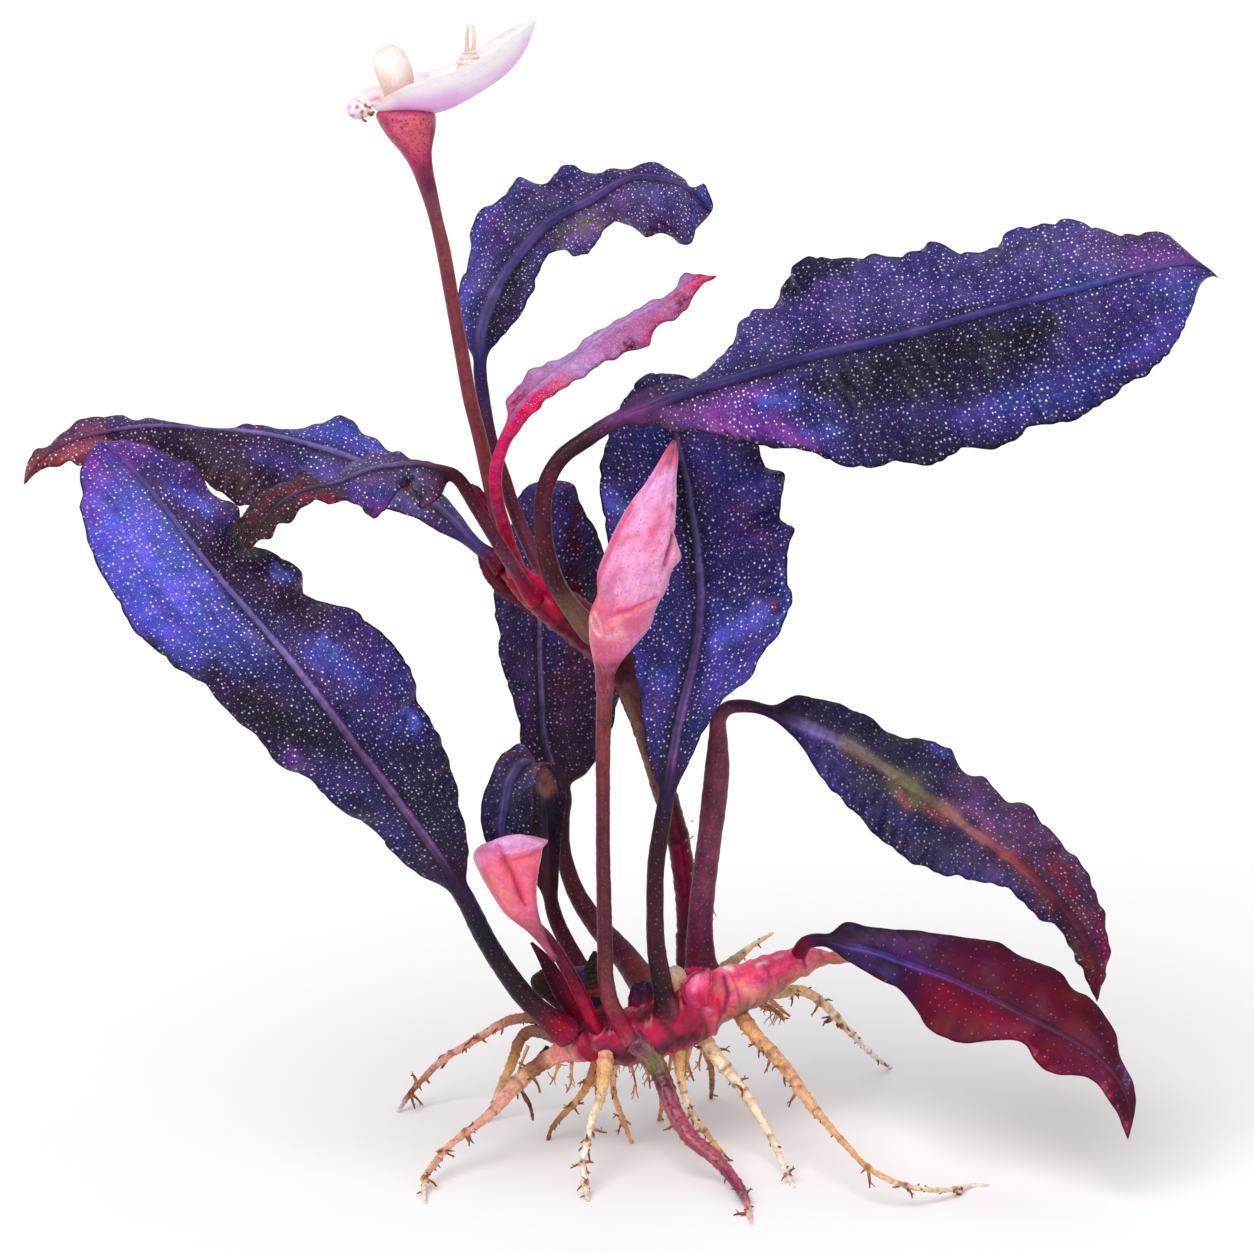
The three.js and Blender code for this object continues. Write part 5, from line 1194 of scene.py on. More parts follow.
    # the lie runs on from the petiole to the blade, and the dots keep off the midrib and the margin
    around = radius[:, None] * angle[None]
    way = np.where(on_blade[:, None] > 0, station[..., 0], (t * total)[:, None] - begin * total)
    lie = np.stack([look["finer"] * np.broadcast_to(way, share.shape),
                    look["finer"] * np.where(on_blade[:, None] > 0, across, around), share], -1)
    dots = np.where(face[None] > 0, 1.0, UNDERSIDE_DOTS) * look["dots"] * np.ones_like(share)
    dots = dots * smooth(np.abs(across), band * 0.7, band * 1.5)
    dots = dots * smooth(share, 0.02, 0.12) * on_blade[:, None]
    dots = dots * (1 - 0.6 * margin) * (0.8 + 0.3 * waviness(across + vein[..., 0], seed + 4, 9.0))
    dots = dots * (0.62 + 0.5 * smooth(tint.mean(-1), 0.12, 0.4)) + PETIOLE_DOTS * (1 - on_blade[:, None])
    return shell(ring, tint, lie, np.clip(dots, 0, 1.5))


SLOTS = {sub["node"]: sub["material_slot"] for sub in frame["record"]["subparts"]}
for name in LEAVES:
    piece(f"{name}_skin", [leaf_shell(name)], FINISHES[SLOTS[name]], SLOTS[name], name)

# %% [markdown]
# ## Stems, buds and roots
# Round pieces come in two kinds. A tube follows a path with a list of radii, as a stalk or a root does. A
# pod lies between a left and a right outline, as a bud, a cup or the rhizome does, and its fullness says
# how thick it is against how wide it looks. Both take a relief, a small height in mm for each point, for
# ring scars, folds, scales and swellings.

# %% Tubes and pods
THINNEST_RADIUS = 0.15
TUBE_FACTS = ("radii", "around", "uneven", "seed")
POD_FACTS = ("left", "right", "depths", "fullness", "stations", "around")


def circle(around):
    return 2 * math.pi * np.arange(around) / around


def tube_rings(path, radii, step=0.3, around=16, uneven=0.05, seed=1):
    """Rings of a tube: centre + radius (front sin a - side cos a), with a radius that wavers a little."""
    total = length_of(path)
    t = np.linspace(0, 1, max(12, int(total / step)))
    side, front = section_frame(heading(path, t))
    angle = circle(around)
    radius = np.maximum(spread(radii, t), THINNEST_RADIUS)[:, None]
    radius = radius * (1 + uneven * waviness(t[:, None] * total + angle[None] * 0.8, seed, 5.0))
    out = front[:, None] * np.sin(angle)[None, :, None] - side[:, None] * np.cos(angle)[None, :, None]
    return path(t)[:, None] + out * radius[..., None], out, t, angle, total, radius


def pod_rings(left, right, depths, fullness=1.0, stations=90, around=48):
    """Rings of a pod: its middle and half width come from the two outlines, its front is square to both."""
    edges = [Outline(left), Outline(right)]
    t = np.linspace(0, 1, stations)

    def path(share):
        return sum(at_depth(edge.at(share), spread(depths, share)) for edge in edges) / 2

    across = at_depth(edges[1].at(t), spread(depths, t)) - at_depth(edges[0].at(t), spread(depths, t))
    half = np.maximum(np.linalg.norm(across, axis=-1) / 2, THINNEST_RADIUS)[:, None, None]
    side = unit(across)
    front = unit(np.cross(side, heading(path, t)))
    angle = circle(around)
    out = fullness * front[:, None] * np.sin(angle)[None, :, None]
    out = out - side[:, None] * np.cos(angle)[None, :, None]
    return path(t)[:, None] + out * half, unit(out), t, angle, length_of(path), half[..., 0]


def wrap(made, stops, marks="", relief=None, scars=(), dots=1.0, crest=None):
    """Paints the rings of a tube or pod and raises its relief.

    relief(share, turn, seen, total) gives heights in mm. A ring scar has a share of the length, a width in
    mm, a colour, a strength and a height in mm. crest is a tint for the highest places of the relief."""
    rings, out, t, angle, total, radius = made
    seen = seen_at(rings)
    share = np.broadcast_to(t[:, None], rings.shape[:2])
    turn = np.broadcast_to(angle[None], rings.shape[:2])
    tint = ramp(stops, share)
    height = np.zeros(rings.shape[:2])
    for place, width, name, strength, rise in scars:
        wander = 0.12 * width * np.sin(turn * 2 + place * 40)
        near = np.exp(-((((share - place) * total + wander) / width) ** 2))
        tint = blend(tint, colour(name), (near * strength)[..., None])
        height = height + near * rise
    tint = marked(tint, seen, marks, smooth(-(out @ FORWARD), -0.2, 0.3))
    if relief is not None:
        height = height + relief(share, turn, seen, total)
    if crest:
        tint = blend(tint, colour(crest), smooth(height, height.max() * 0.5, height.max())[..., None])
    lie = np.stack([share * total, turn * np.broadcast_to(radius, turn.shape), share], -1)
    return shell(rings + out * height[..., None], tint, lie, dots)


def stem_path(facts):
    curve = Outline(facts["line"])
    return lambda t: at_depth(curve.at(t), spread(facts["depths"], t))


def dressed(facts, relief=None, dots=1.0):
    """The painted skin of one entry of a sheet: a tube if it has a line, and a pod if it has two outlines."""
    if "line" in facts:
        rings = tube_rings(stem_path(facts), **{key: facts[key] for key in TUBE_FACTS if key in facts})
    else:
        rings = pod_rings(**{key: facts[key] for key in POD_FACTS if key in facts})
    scars = [scar.split() for scar in facts["scars"].split(",")] if "scars" in facts else []
    scars = [(float(place), float(width), name, float(strength), float(rise))
             for place, width, name, strength, rise in scars]
    dots = facts.get("dots", dots)
    return wrap(rings, facts["stops"], facts.get("marks"), relief, scars, dots, facts.get("crest"))


def grow(node, shells, name=None, finish=None):
    """Makes the skin of one solid, with the finish of the solid's slot unless another finish is given."""
    slot = SLOTS[node]
    piece(name or f"{node}_skin", shells, FINISHES[finish or slot], slot, node)


print("ready for", len(SLOTS) - len(LEAVES), "more pieces")

# %% [markdown]
# ## Rhizome and shoot
# The rhizome is the plant's oldest part. It creeps along, and each leaf that fell left a ring round it.
# Its young end is rose to crimson and wet, its old left end brown. The shoot climbs from it to the crown.

# %% Rhizome and shoot
# In the rhizome's marks, the small cream and bud_pink spots are painted highlights, and the bright crimson
# streak at the left is partly its colour and partly a painted highlight. The dark red and maroon brown lines
# along its edges are painted shade.
STEMS = read_sheet("""
rhizome
depths = -4 -3 -1 1 4 8 12 fullness = 0.95 stations = 240 around = 84
left = 572,1028 590,1020 614,1013 640,1006 660,998 680,974 700,966 735,965 762,958 797,947 822,949 846,953
right = 576,1056 592,1061 615,1065 640,1062 662,1055 690,1046 712,1032 728,1020 752,1007 786,986 815,969
850,962
stops = 0 rhizome_brown, 0.08 stem_maroon, 0.2 crimson, 0.3 bright_crimson, 0.4 crimson, 0.48 rhizome_red,
0.55 rhizome_pink, 0.66 rhizome_pink, 0.74 rhizome_red, 0.84 rhizome_pink, 0.93 salmon, 1 rhizome_tan
scars = 0.06 0.5 rhizome_brown 0.6 0.12, 0.24 0.5 dark_red 0.5 -0.1, 0.43 0.45 dark_red 0.6 -0.2, 0.475 0.25
bright_crimson 0.7 0.2, 0.565 0.22 crimson 0.6 -0.12, 0.6 0.3 bud_rose 0.5 0.15, 0.69 0.2 crimson 0.5 -0.08,
0.8 0.25 rust 0.4 -0.06, 0.9 0.25 rust 0.4 -0.05
marks = 600,1038 655,1034: 9 bright_crimson 0.8; 590,1058 640,1056 700,1036: 5 dark_red 0.8; 560,1050
590,1055: 9 root_pink 0.6; 722,1024 750,1004 780,986 815,971 848,960: 10 rhizome_tan 0.9; 730,1022 760,1003
785,990: 4 bark_tan 0.6; 716,1028 752,1008: 4 olive 0.5; 712,982 724,990: 6 rhizome_tan 0.7; 738,975
756,966: 6 rhizome_red 0.7; 768,966 792,955: 5 rhizome_red 0.6; 756,977 764,983: 3.5 cup_magenta 0.8;
724,976 728,994 724,1012: 2.2 wine 0.8; 738,985 750,992: 7 root_pink 0.6; 704,1010 714,1024: 7 bud_rose 0.6;
719,1000 721,1018 716,1032: 2 crimson 0.8; 688,1016 700,1030: 7 crimson 0.6; 655,1012 674,1036: 5 dark_red
0.8; 724,966 731,970: 3 cream 0.8; 757,966 766,962: 2.2 cream 0.8; 704,1006 710,1010: 2.5 bud_pink 0.7;
792,951: 2.5 bud_pink 0.8; 774,958 782,955: 2.2 bud_pink 0.7; 800,950 804,966: 2.2 wine 0.7; 640,1018
652,1008: 6 maroon_brown 0.7; 620,1034 640,1034: 4 terracotta 0.7; 694,1004 704,998: 6 rhizome_pink 0.6;
774,968 786,964: 6 rhizome_pink 0.6; 668,1044 690,1036: 5 maroon_brown 0.7

rising_shoot
depths = 4 9 9 8 7 5 2 -1 -2 around = 28 uneven = 0.08 seed = 3 dots = 0.2
line = 690,995 689,960 689,920 685,880 677,835 664,790 651,745 639,705 626,672 606,647 582,625 556,606
530,588 508,568
radii = 1.6 1.6 1.5 1.4 1.4 1.5 1.6 2.0 2.5 2.7 2.3 1.3
stops = 0 dark_red, 0.08 stem_maroon, 0.2 wine, 0.33 burgundy, 0.42 stem_maroon, 0.5 rhizome_brown, 0.66
stem_maroon, 0.74 dark_red, 0.8 burgundy, 0.87 crimson, 1 crimson
scars = 0.12 0.4 root_dark 0.6 0.15, 0.22 0.3 rhizome_brown 0.5 0.12, 0.33 0.4 root_dark 0.6 0.15, 0.42 0.3
rhizome_brown 0.5 0.1, 0.55 0.3 dark_red 0.5 0.1, 0.66 0.3 dark_red 0.5 0.1, 0.77 0.3 dark_red 0.7 -0.15,
0.86 0.3 dark_red 0.7 0.2
marks = 626,690 638,740 652,800: 7 bark_tan 0.85; 676,800 692,830: 7 root_dark 0.8; 680,846 688,900: 5
crimson 0.6; 688,925 690,950: 5 dark_red 0.6; 580,648 592,658: 5 scar_grey 0.6; 526,597 532,595 540,600
556,603: 1.8 peach 0.7; 520,604 545,622 575,642 600,656: 8 burgundy 0.9; 522,562 534,578 546,590 554,600: 7
bright_crimson 0.85; 486,556 504,590: 8 burgundy 0.8
""")


def rhizome_relief(share, turn, seen, total):
    lumps = waviness(share * total + np.sin(turn) * 2, 11, 14.0) * 0.4
    return lumps + waviness(share * total * 0.5 + turn * 1.5, 12, 5.0) * 0.12


grow("rhizome", [dressed(STEMS["rhizome"], rhizome_relief)])
grow("rising_shoot", [dressed(STEMS["rising_shoot"])], "shoot_skin")

# %% [markdown]
# ## The open flower
# The stalk flares into a rose cup with dark red dots. Out of the cup come a white spathe, shaped like a
# small boat that is tipped back, the smooth white spadix and a cone of beads with two pale horns. A round
# knob with curly threads hangs at the left.

# %% The open flower
# On the spadix, the cream stripe down its middle is a painted highlight, and the peach left at its sides is
# painted shade.
FLOWER = read_sheet("""
flower_open_stalk
depths = 0 1 1 0 -1 -2 -3 -4 -4 stations = 300 around = 72
left = 503,565 492,525 482,482 473,440 463,400 454,350 445,300 436,250 428,215 419,188 410,166 400,151
388,137 379,123 376,114 385,108
right = 516,561 506,522 497,479 487,437 477,397 468,347 459,298 450,248 443,220 437,190 433,168 432,150
435,133 436,120 434,112 424,108
stops = 0 stem_maroon, 0.25 stem_brick, 0.7 stem_brick, 0.8 stem_mauve, 0.88 cup_magenta, 0.93 cup_rose,
0.98 cup_rose, 1 cup_magenta
marks = 384,122 396,146 410,168: 7 cup_magenta 0.8; 396,120 402,134: 8 bud_rose 0.6; 425,170 430,190: 7 wine
0.6; 436,196 446,236 452,262: 5 terracotta 0.45; 434,130 434,165: 4 burgundy 0.7; 416,126 420,140: 9
cup_rose 0.7

flower_open_spadix
depths = -4 -4 stations = 70 around = 40 dots = 0.0 marks = 393,60 397,78: 9 cream 0.9
left = 388,110 384,95 380,84 375,72 373,60 378,50 387,45
right = 408,110 411,95 414,82 412,68 407,57 401,49 393,45
stops = 0 peach, 0.45 peach, 0.7 cream, 1 peach

flower_open_cone
depths = -4 -4 fullness = 0.8 stations = 90 around = 72 dots = 0.0 crest = cream
left = 461,82 458,75 458,67 460,58 466,50
right = 480,78 481,71 481,64 478,56 474,50
stops = 0 salmon, 0.5 peach, 1 peach
marks = 460,72 468,60 476,70: 3 cream 0.8

flower_open_knob
depths = -5 -6 stations = 40 around = 36 dots = 0.3
left = 372,114 363,118 354,118 347,113 348,105 353,101
right = 371,107 367,105 364,103 361,102 359,101 356,100
stops = 0 peach, 0.5 spathe_white, 1 spathe_white
marks = 357,107: 1.6 rust 0.9; 361,112: 1.4 rust 0.7; 352,115: 3 bud_rose 0.5; 366,105 370,107: 1.8 rust
0.9; 349,108: 3 bud_pink 0.7

horn_left
line = 467,58 467,45 467,35 468,25 depths = -4 -5 radii = 0.34 0.22 0.15 around = 12 dots = 0.0
stops = 0 peach, 1 peach

horn_right
line = 472,57 474,45 474,35 473,25 depths = -4 -3 radii = 0.34 0.22 0.15 around = 12 dots = 0.0
stops = 0 peach, 1 peach
""")
stalk_share = np.linspace(0, 1, FLOWER["flower_open_stalk"]["stations"])
spotted = smooth(stalk_share, 0.8, 0.9)[:, None] * 0.85
grow("flower_open_stalk", [dressed(FLOWER["flower_open_stalk"], dots=spotted)], finish="cup")

# %% [markdown]
# The spathe is neither a tube nor a pod. It is an open shell between a keel and two rims, which are a few
# mm in front of the keel and behind it.

# %% The spathe
SPATHE = read_sheet("""
flower_open_spathe
depth = -4 half_breadth = 5
keel = 372,109 388,114 408,116 428,115 448,110 468,100 488,88 507,74 520,59 529,43 536,23
near = 366,105 380,101 394,93 408,86 426,81 446,75 466,67 486,56 504,44 518,34 529,26 536,22
far = 357,99 365,89 385,85 405,79 425,73 442,69 462,60 480,49 496,38 512,28 525,23 536,21
marks = 400,104 430,103 455,98: 8 spathe_lilac 0.9; 420,112 455,106: 3 bud_lilac 0.6; 500,80 520,60 530,42:
7 spathe_lilac 0.8; 380,99 398,93: 3 peach 0.8; 372,100 378,98: 2.5 bud_rose 0.7
""")
SPATHE_THICKNESS = 0.5
SPATHE_LENGTH, SPATHE_DEPTH = 21, 8
ROUNDNESS = 0.62


def spathe_shell(shape, stations=110, columns=40):
    """A boat-shaped shell between a keel and two rims.

    Across the boat it runs as m + h sin v + (k - m) cos v, where k is the keel, m the middle of the two
    rims and h half the way between them, pulled a little towards the straight lines from keel to rim."""
    s = np.linspace(0.02, 0.995, stations)
    breadth = shape["half_breadth"] * np.sqrt(np.sin(math.pi * s))
    k, a, b = (at_depth(Outline(shape[key]).at(s), shape["depth"] + sign * breadth)[:, None]
               for key, sign in (("keel", 0), ("near", -1), ("far", 1)))
    middle, halfway = (a + b) / 2, (a - b) / 2
    inward = unit(middle - k)
    v = np.linspace(1, -1, columns)
    swing = v * math.pi / 2
    round_way = middle + halfway * np.sin(-swing)[None, :, None] + (k - middle) * np.cos(swing)[None, :, None]
    straight = k + np.where(v[None, :, None] > 0, b - k, a - k) * np.abs(v)[None, :, None]
    boat = blend(straight, round_way, ROUNDNESS)
    thick = SPATHE_THICKNESS * np.minimum(1, 0.3 + 3 * np.minimum(s, 1 - s))[:, None, None]
    thick = thick * (1 - 0.75 * np.abs(v)[None, :, None] ** 3)
    lip = 0.5 * smooth(np.abs(v), 0.8, 1.0)[None, :, None]
    lip = lip * waviness(s * SPATHE_LENGTH, 21, 9.0)[:, None, None]
    boat = boat + unit(a - b) * lip * np.sign(-v)[None, :, None]
    rings = np.concatenate([boat + inward * thick, boat[:, ::-1]], axis=1)

    share = np.broadcast_to(s[:, None], rings.shape[:2])
    low = np.concatenate([1 - np.abs(v), 1 - np.abs(v)])[None]
    outside = np.concatenate([np.zeros(columns), np.ones(columns)])[None]
    lilac = outside * smooth(low, 0.15, 0.8) * (0.55 + 0.45 * np.sin(share * 5.0)) * 0.9
    tint = blend(colour("spathe_white"), colour("spathe_lilac"), np.clip(lilac, 0, 1)[..., None])
    tint = marked(tint, seen_at(rings), shape["marks"])
    lie = np.stack([share * SPATHE_LENGTH, np.broadcast_to(low * SPATHE_DEPTH, share.shape), share], -1)
    return shell(rings, tint, lie, 0.0)


grow("flower_open_spathe", [spathe_shell(SPATHE["flower_open_spathe"])])

# %% [markdown]
# The spadix is a smooth pod. The cone is covered with rows of beads, and two horns stand on it. The knob
# is small and a little uneven.

# %% Spadix, cone and knob
grow("flower_open_spadix", [dressed(FLOWER["flower_open_spadix"])])


def bead_relief(share, turn, seen, total, step=0.62, height=0.25, row_of_beads=12):
    """Beads packed like the scales of a cone: each row is turned by half a bead against the one below."""
    row = share * total / step
    column = turn / (2 * math.pi) * row_of_beads + 0.5 * np.floor(row)
    from_middle = np.hypot(row % 1 - 0.5, column % 1 - 0.5)
    return height * np.sqrt(np.clip(1 - (from_middle / 0.46) ** 2, 0, 1))


def knob_relief(share, turn, seen, total):
    return 0.16 * waviness(share * total + turn, 31, 1.6)


grow("flower_open_cone", [dressed(FLOWER["flower_open_cone"], bead_relief),
                          dressed(FLOWER["horn_left"]), dressed(FLOWER["horn_right"])])
grow("flower_open_knob", [dressed(FLOWER["flower_open_knob"], knob_relief)])

# %% [markdown]
# ## The two buds
# A bud is a spathe that is still rolled up. Its outer edge winds round it once, from the lower left to
# the upper right, and ends in a little flap. Below the waist the tube holds the female flowers and
# bulges, salmon to coral. The small bud has only opened at its top, where a lilac lip is rolled outward.

# %% The two buds
# On the large bud, the wine line under the bulb is a painted shadow, and the thin peach lines of the loop at
# its lower left and the lilac patch at its lower right are painted highlights.
BUDS = read_sheet("""
large_bud_stalk
around = 20 seed = 41 dots = 0.3
line = 632,1046 622,1026 611,1004 606,982 605,950 604,900 603,850 603,800 603,750 604,710 605,686
depths = -5 -8 -9 -10 -10.5 -11 -12
radii = 1.2 1.05 0.95 0.9 0.85 0.85 0.9 1.0
stops = 0 bark_tan, 0.03 stem_rose, 0.07 crimson, 0.14 stem_brick, 0.3 stem_maroon, 0.6 stem_maroon, 0.85
stem_brick, 0.94 stem_brick, 1 stem_rose

large_bud
depths = -12 -13 -13 -12 -11 fullness = 0.85 stations = 210 around = 110
left = 595,690 595,672 592,655 589,637 590,615 595,590 600,565 608,545 618,523 632,500 646,482 657,465
666,450 673,440
right = 614,690 615,674 622,661 634,646 648,630 659,612 666,590 671,570 680,557 676,542 675,520 676,498
676,478 678,455 676,441
stops = 0 stem_brick, 0.06 stem_brick, 0.1 stem_rose, 0.15 bud_rose, 0.24 bud_blush, 0.32 bud_rose, 0.4
bud_pink, 0.72 bud_pink, 0.87 bud_lilac, 0.945 bud_rose, 1 rust
marks = 592,655 590,625 597,590: 4 coral 0.6; 608,640 620,634 618,622: 5 peach 0.55; 606,628 622,618
652,606: 3 salmon 0.6; 591,616 594,630 600,636: 1.4 peach 0.8; 594,612 600,622 602,634: 1.4 peach 0.7;
617,612 635,609 657,598: 2.5 rhizome_red 0.6; 598,585 612,545 632,505: 3 rhizome_red 0.5; 668,462 675,442: 4
rust 0.6; 665,565 669,550 673,535: 1.8 burgundy 0.8; 672,505 673,508: 2 wine 0.7; 650,530 652,534: 3
rhizome_red 0.4; 630,655 645,638 658,615: 7 bud_lilac 0.7; 630,560 640,520 654,485: 7 bud_lilac 0.6; 620,540
640,536: 5 bud_rose 0.5; 648,545 660,515: 7 rose 0.45; 606,590 618,570: 6 bud_rose 0.5; 598,666 608,667
616,665: 2.5 wine 0.5; 602,646 612,642: 6 bud_rose 0.6; 658,474 662,464: 4 bud_rose 0.6; 655,585 664,575: 6
bud_lilac 0.6; 628,585 642,575: 6 bud_lilac 0.5

small_bud_stalk
depths = -4 -7 -9 -10.5 -12 radii = 1.0 0.9 0.85 0.8 0.75 around = 20 seed = 42
line = 600,1038 592,1020 584,1002 575,983 565,965 554,948 543,934 533,925
stops = 0 crimson, 0.3 crimson, 0.5 burgundy, 0.85 wine, 1 stem_rose

small_bud
depths = -12 -13.5 -14.5 -14.5 fullness = 0.8 stations = 130 around = 80 dots = 0.2
left = 553,962 541,946 527,931 511,918 500,903 490,888 480,870 475,856 480,847 492,846 506,839
right = 558,958 548,941 540,918 537,900 537,885 539,868 542,852 541,841 530,837 520,836 509,838
stops = 0 wine, 0.05 stem_rose, 0.24 stem_rose, 0.34 bud_rose, 0.44 coral, 0.75 coral, 0.86 bud_lilac, 1
bud_pink
marks = 504,846 520,840 540,842: 7 bud_lilac 0.95; 476,853 482,862: 5 bud_pink 0.9; 500,848 506,856: 3
bud_rose 0.7; 486,848 494,852: 5 bud_rose 0.7; 501,860 512,875 520,895 525,905: 1.8 burgundy 0.5; 505,862
516,878 524,900: 5 rhizome_red 0.35; 512,860 530,855 542,848: 2 rhizome_red 0.6; 544,928 551,940 559,956:
3.5 burgundy 0.9; 495,880 512,905: 6 salmon 0.6; 534,870 534,900: 4 rhizome_red 0.35

small_bud_bract
depths = -3 -4 -5 fullness = 0.35 stations = 70 around = 36 dots = 0.05
left = 578,1030 566,1014 556,1000 547,982 539,962 530,943
right = 590,1024 581,1006 571,988 561,972 550,957 533,942
stops = 0 crimson, 0.3 burgundy, 0.7 dark_red, 1 wine
marks = 562,975 573,995 582,1016: 5 crimson 0.9
""")
LARGE_BUD_OVERLAP = "600,600 640,570 668,560"
LARGE_BUD_GROOVES = ["665,566 669,550 674,532", "608,618 632,613 660,600"]
SMALL_BUD_LOBE = "484,856 496,880 510,905"
SMALL_BUD_LIP = "502,852 516,851 530,847 542,842"
SMALL_BUD_FOLD = "497,850 504,864 514,880 522,900"


def large_bud_relief(share, turn, seen, total):
    overlap = 0.28 * smooth(nearness(seen, LARGE_BUD_OVERLAP, 26), 0.2, 0.5)
    waist = -0.45 * np.exp(-(((share - 0.355) / 0.045) ** 2))
    pleats = 0.06 * np.cos(turn * 9 + share * 5) * smooth(share, 0.3, 0.5)
    grooves = sum(-0.3 * nearness(seen, line, 3) for line in LARGE_BUD_GROOVES)
    return overlap * 0.4 + waist + pleats + grooves


def small_bud_relief(share, turn, seen, total):
    lobes = 0.5 * nearness(seen, SMALL_BUD_LOBE, 10)
    lip = 0.75 * nearness(seen, SMALL_BUD_LIP, 4)
    return lobes + lip - 0.9 * nearness(seen, SMALL_BUD_FOLD, 4)


BUD_RELIEFS = {"large_bud": large_bud_relief, "small_bud": small_bud_relief}
for name, facts in BUDS.items():
    grow(name, [dressed(facts, BUD_RELIEFS.get(name))])

# %% [markdown]
# ## Scales and stubs
# Where a leaf fell, the lower end of its petiole stays as a dark, torn stub, and small scales wrap the
# crown.

# %% Scales and stubs
SCALES = read_sheet("""
crown_bract
depths = -1 0 0 fullness = 0.4
left = 536,617 512,602 498,592 486,578 479,560 478,547
right = 540,602 525,590 512,577 502,565 492,553 481,545
stops = 0 burgundy, 0.5 burgundy, 0.8 wine, 1 wine

crown_bud
depths = 1 2.6 2.6 fullness = 0.7
left = 514,568 500,542 485,518 472,501 465,491 467,484
right = 524,562 512,536 500,512 488,498 479,488 472,484
stops = 0 bright_crimson, 0.6 crimson, 1 wine

stub_left
depths = -2 0 1 fullness = 0.8
left = 582,1036 560,1012 545,1000 533,990 531,980 536,973 543,971
right = 592,1026 575,1005 564,992 556,982 554,975 550,971 546,970
stops = 0 stem_maroon, 0.5 bark_brown, 0.9 root_dark, 1 yellow_olive

stub_middle
depths = -2 0 1 fullness = 0.5
left = 592,1034 581,1014 573,996 568,980 570,970 578,967
right = 612,1030 608,1008 606,992 604,979 598,970 588,966
stops = 0 wine, 0.4 dark_plum, 0.9 plum, 1 yellow_olive

stub_right
depths = -1 1 2 fullness = 0.6
left = 634,1022 628,1008 629,996 632,987 639,983
right = 660,1020 660,1006 659,994 655,985 647,982
stops = 0 crimson, 0.5 wine, 0.9 dark_plum, 1 rust

stub_pale
depths = -1 -1 0 fullness = 0.8
left = 676,1004 668,992 664,982 665,972 671,967
right = 694,1002 690,990 688,980 684,971 677,966
stops = 0 rhizome_tan, 0.5 root_tan, 1 scar_grey

scale_brown
depths = -3 -3 -2 fullness = 0.4
left = 588,996 587,982 585,970 589,960 594,951
right = 602,996 600,982 599,970 598,960 596,951
stops = 0 rust, 0.5 bark_brown, 1 root_dark

scale_pink
depths = -4 -3 -1.5 fullness = 0.25
left = 692,1010 683,997 682,985 690,975 705,968
right = 708,1006 709,996 711,987 712,979 709,968
stops = 0 rhizome_red, 0.6 rhizome_pink, 1 bud_rose
""")
# On the pink scale, the pale bud_pink line down its middle is a painted highlight; wine and crimson lines
# darken its edges.
PINK_SCALE_MARKS_AND_HIGHLIGHT = """694,1010 685,997 683,985 691,976 705,969: 2 wine 0.8;
709,1004 710,990 710,970: 2 crimson 0.9; 698,976 694,990: 2.5 bud_pink 0.9;
700,996 704,1006: 5 crimson 0.7; 686,992 692,1002: 3 cup_magenta 0.7"""
SCALE_LOOK = dict(stations=60, around=36, dots=0.08, marks=PINK_SCALE_MARKS_AND_HIGHLIGHT)
for number, (name, facts) in enumerate(SCALES.items()):

    def torn(share, turn, seen, total, seed=number):
        folds = 0.12 * np.cos(turn * 5 + seed) * smooth(share, 0.1, 0.6)
        return folds + 0.14 * waviness(share * total + turn * 1.5, 50 + seed, 1.8)

    grow(name, [dressed(facts | SCALE_LOOK, torn)])
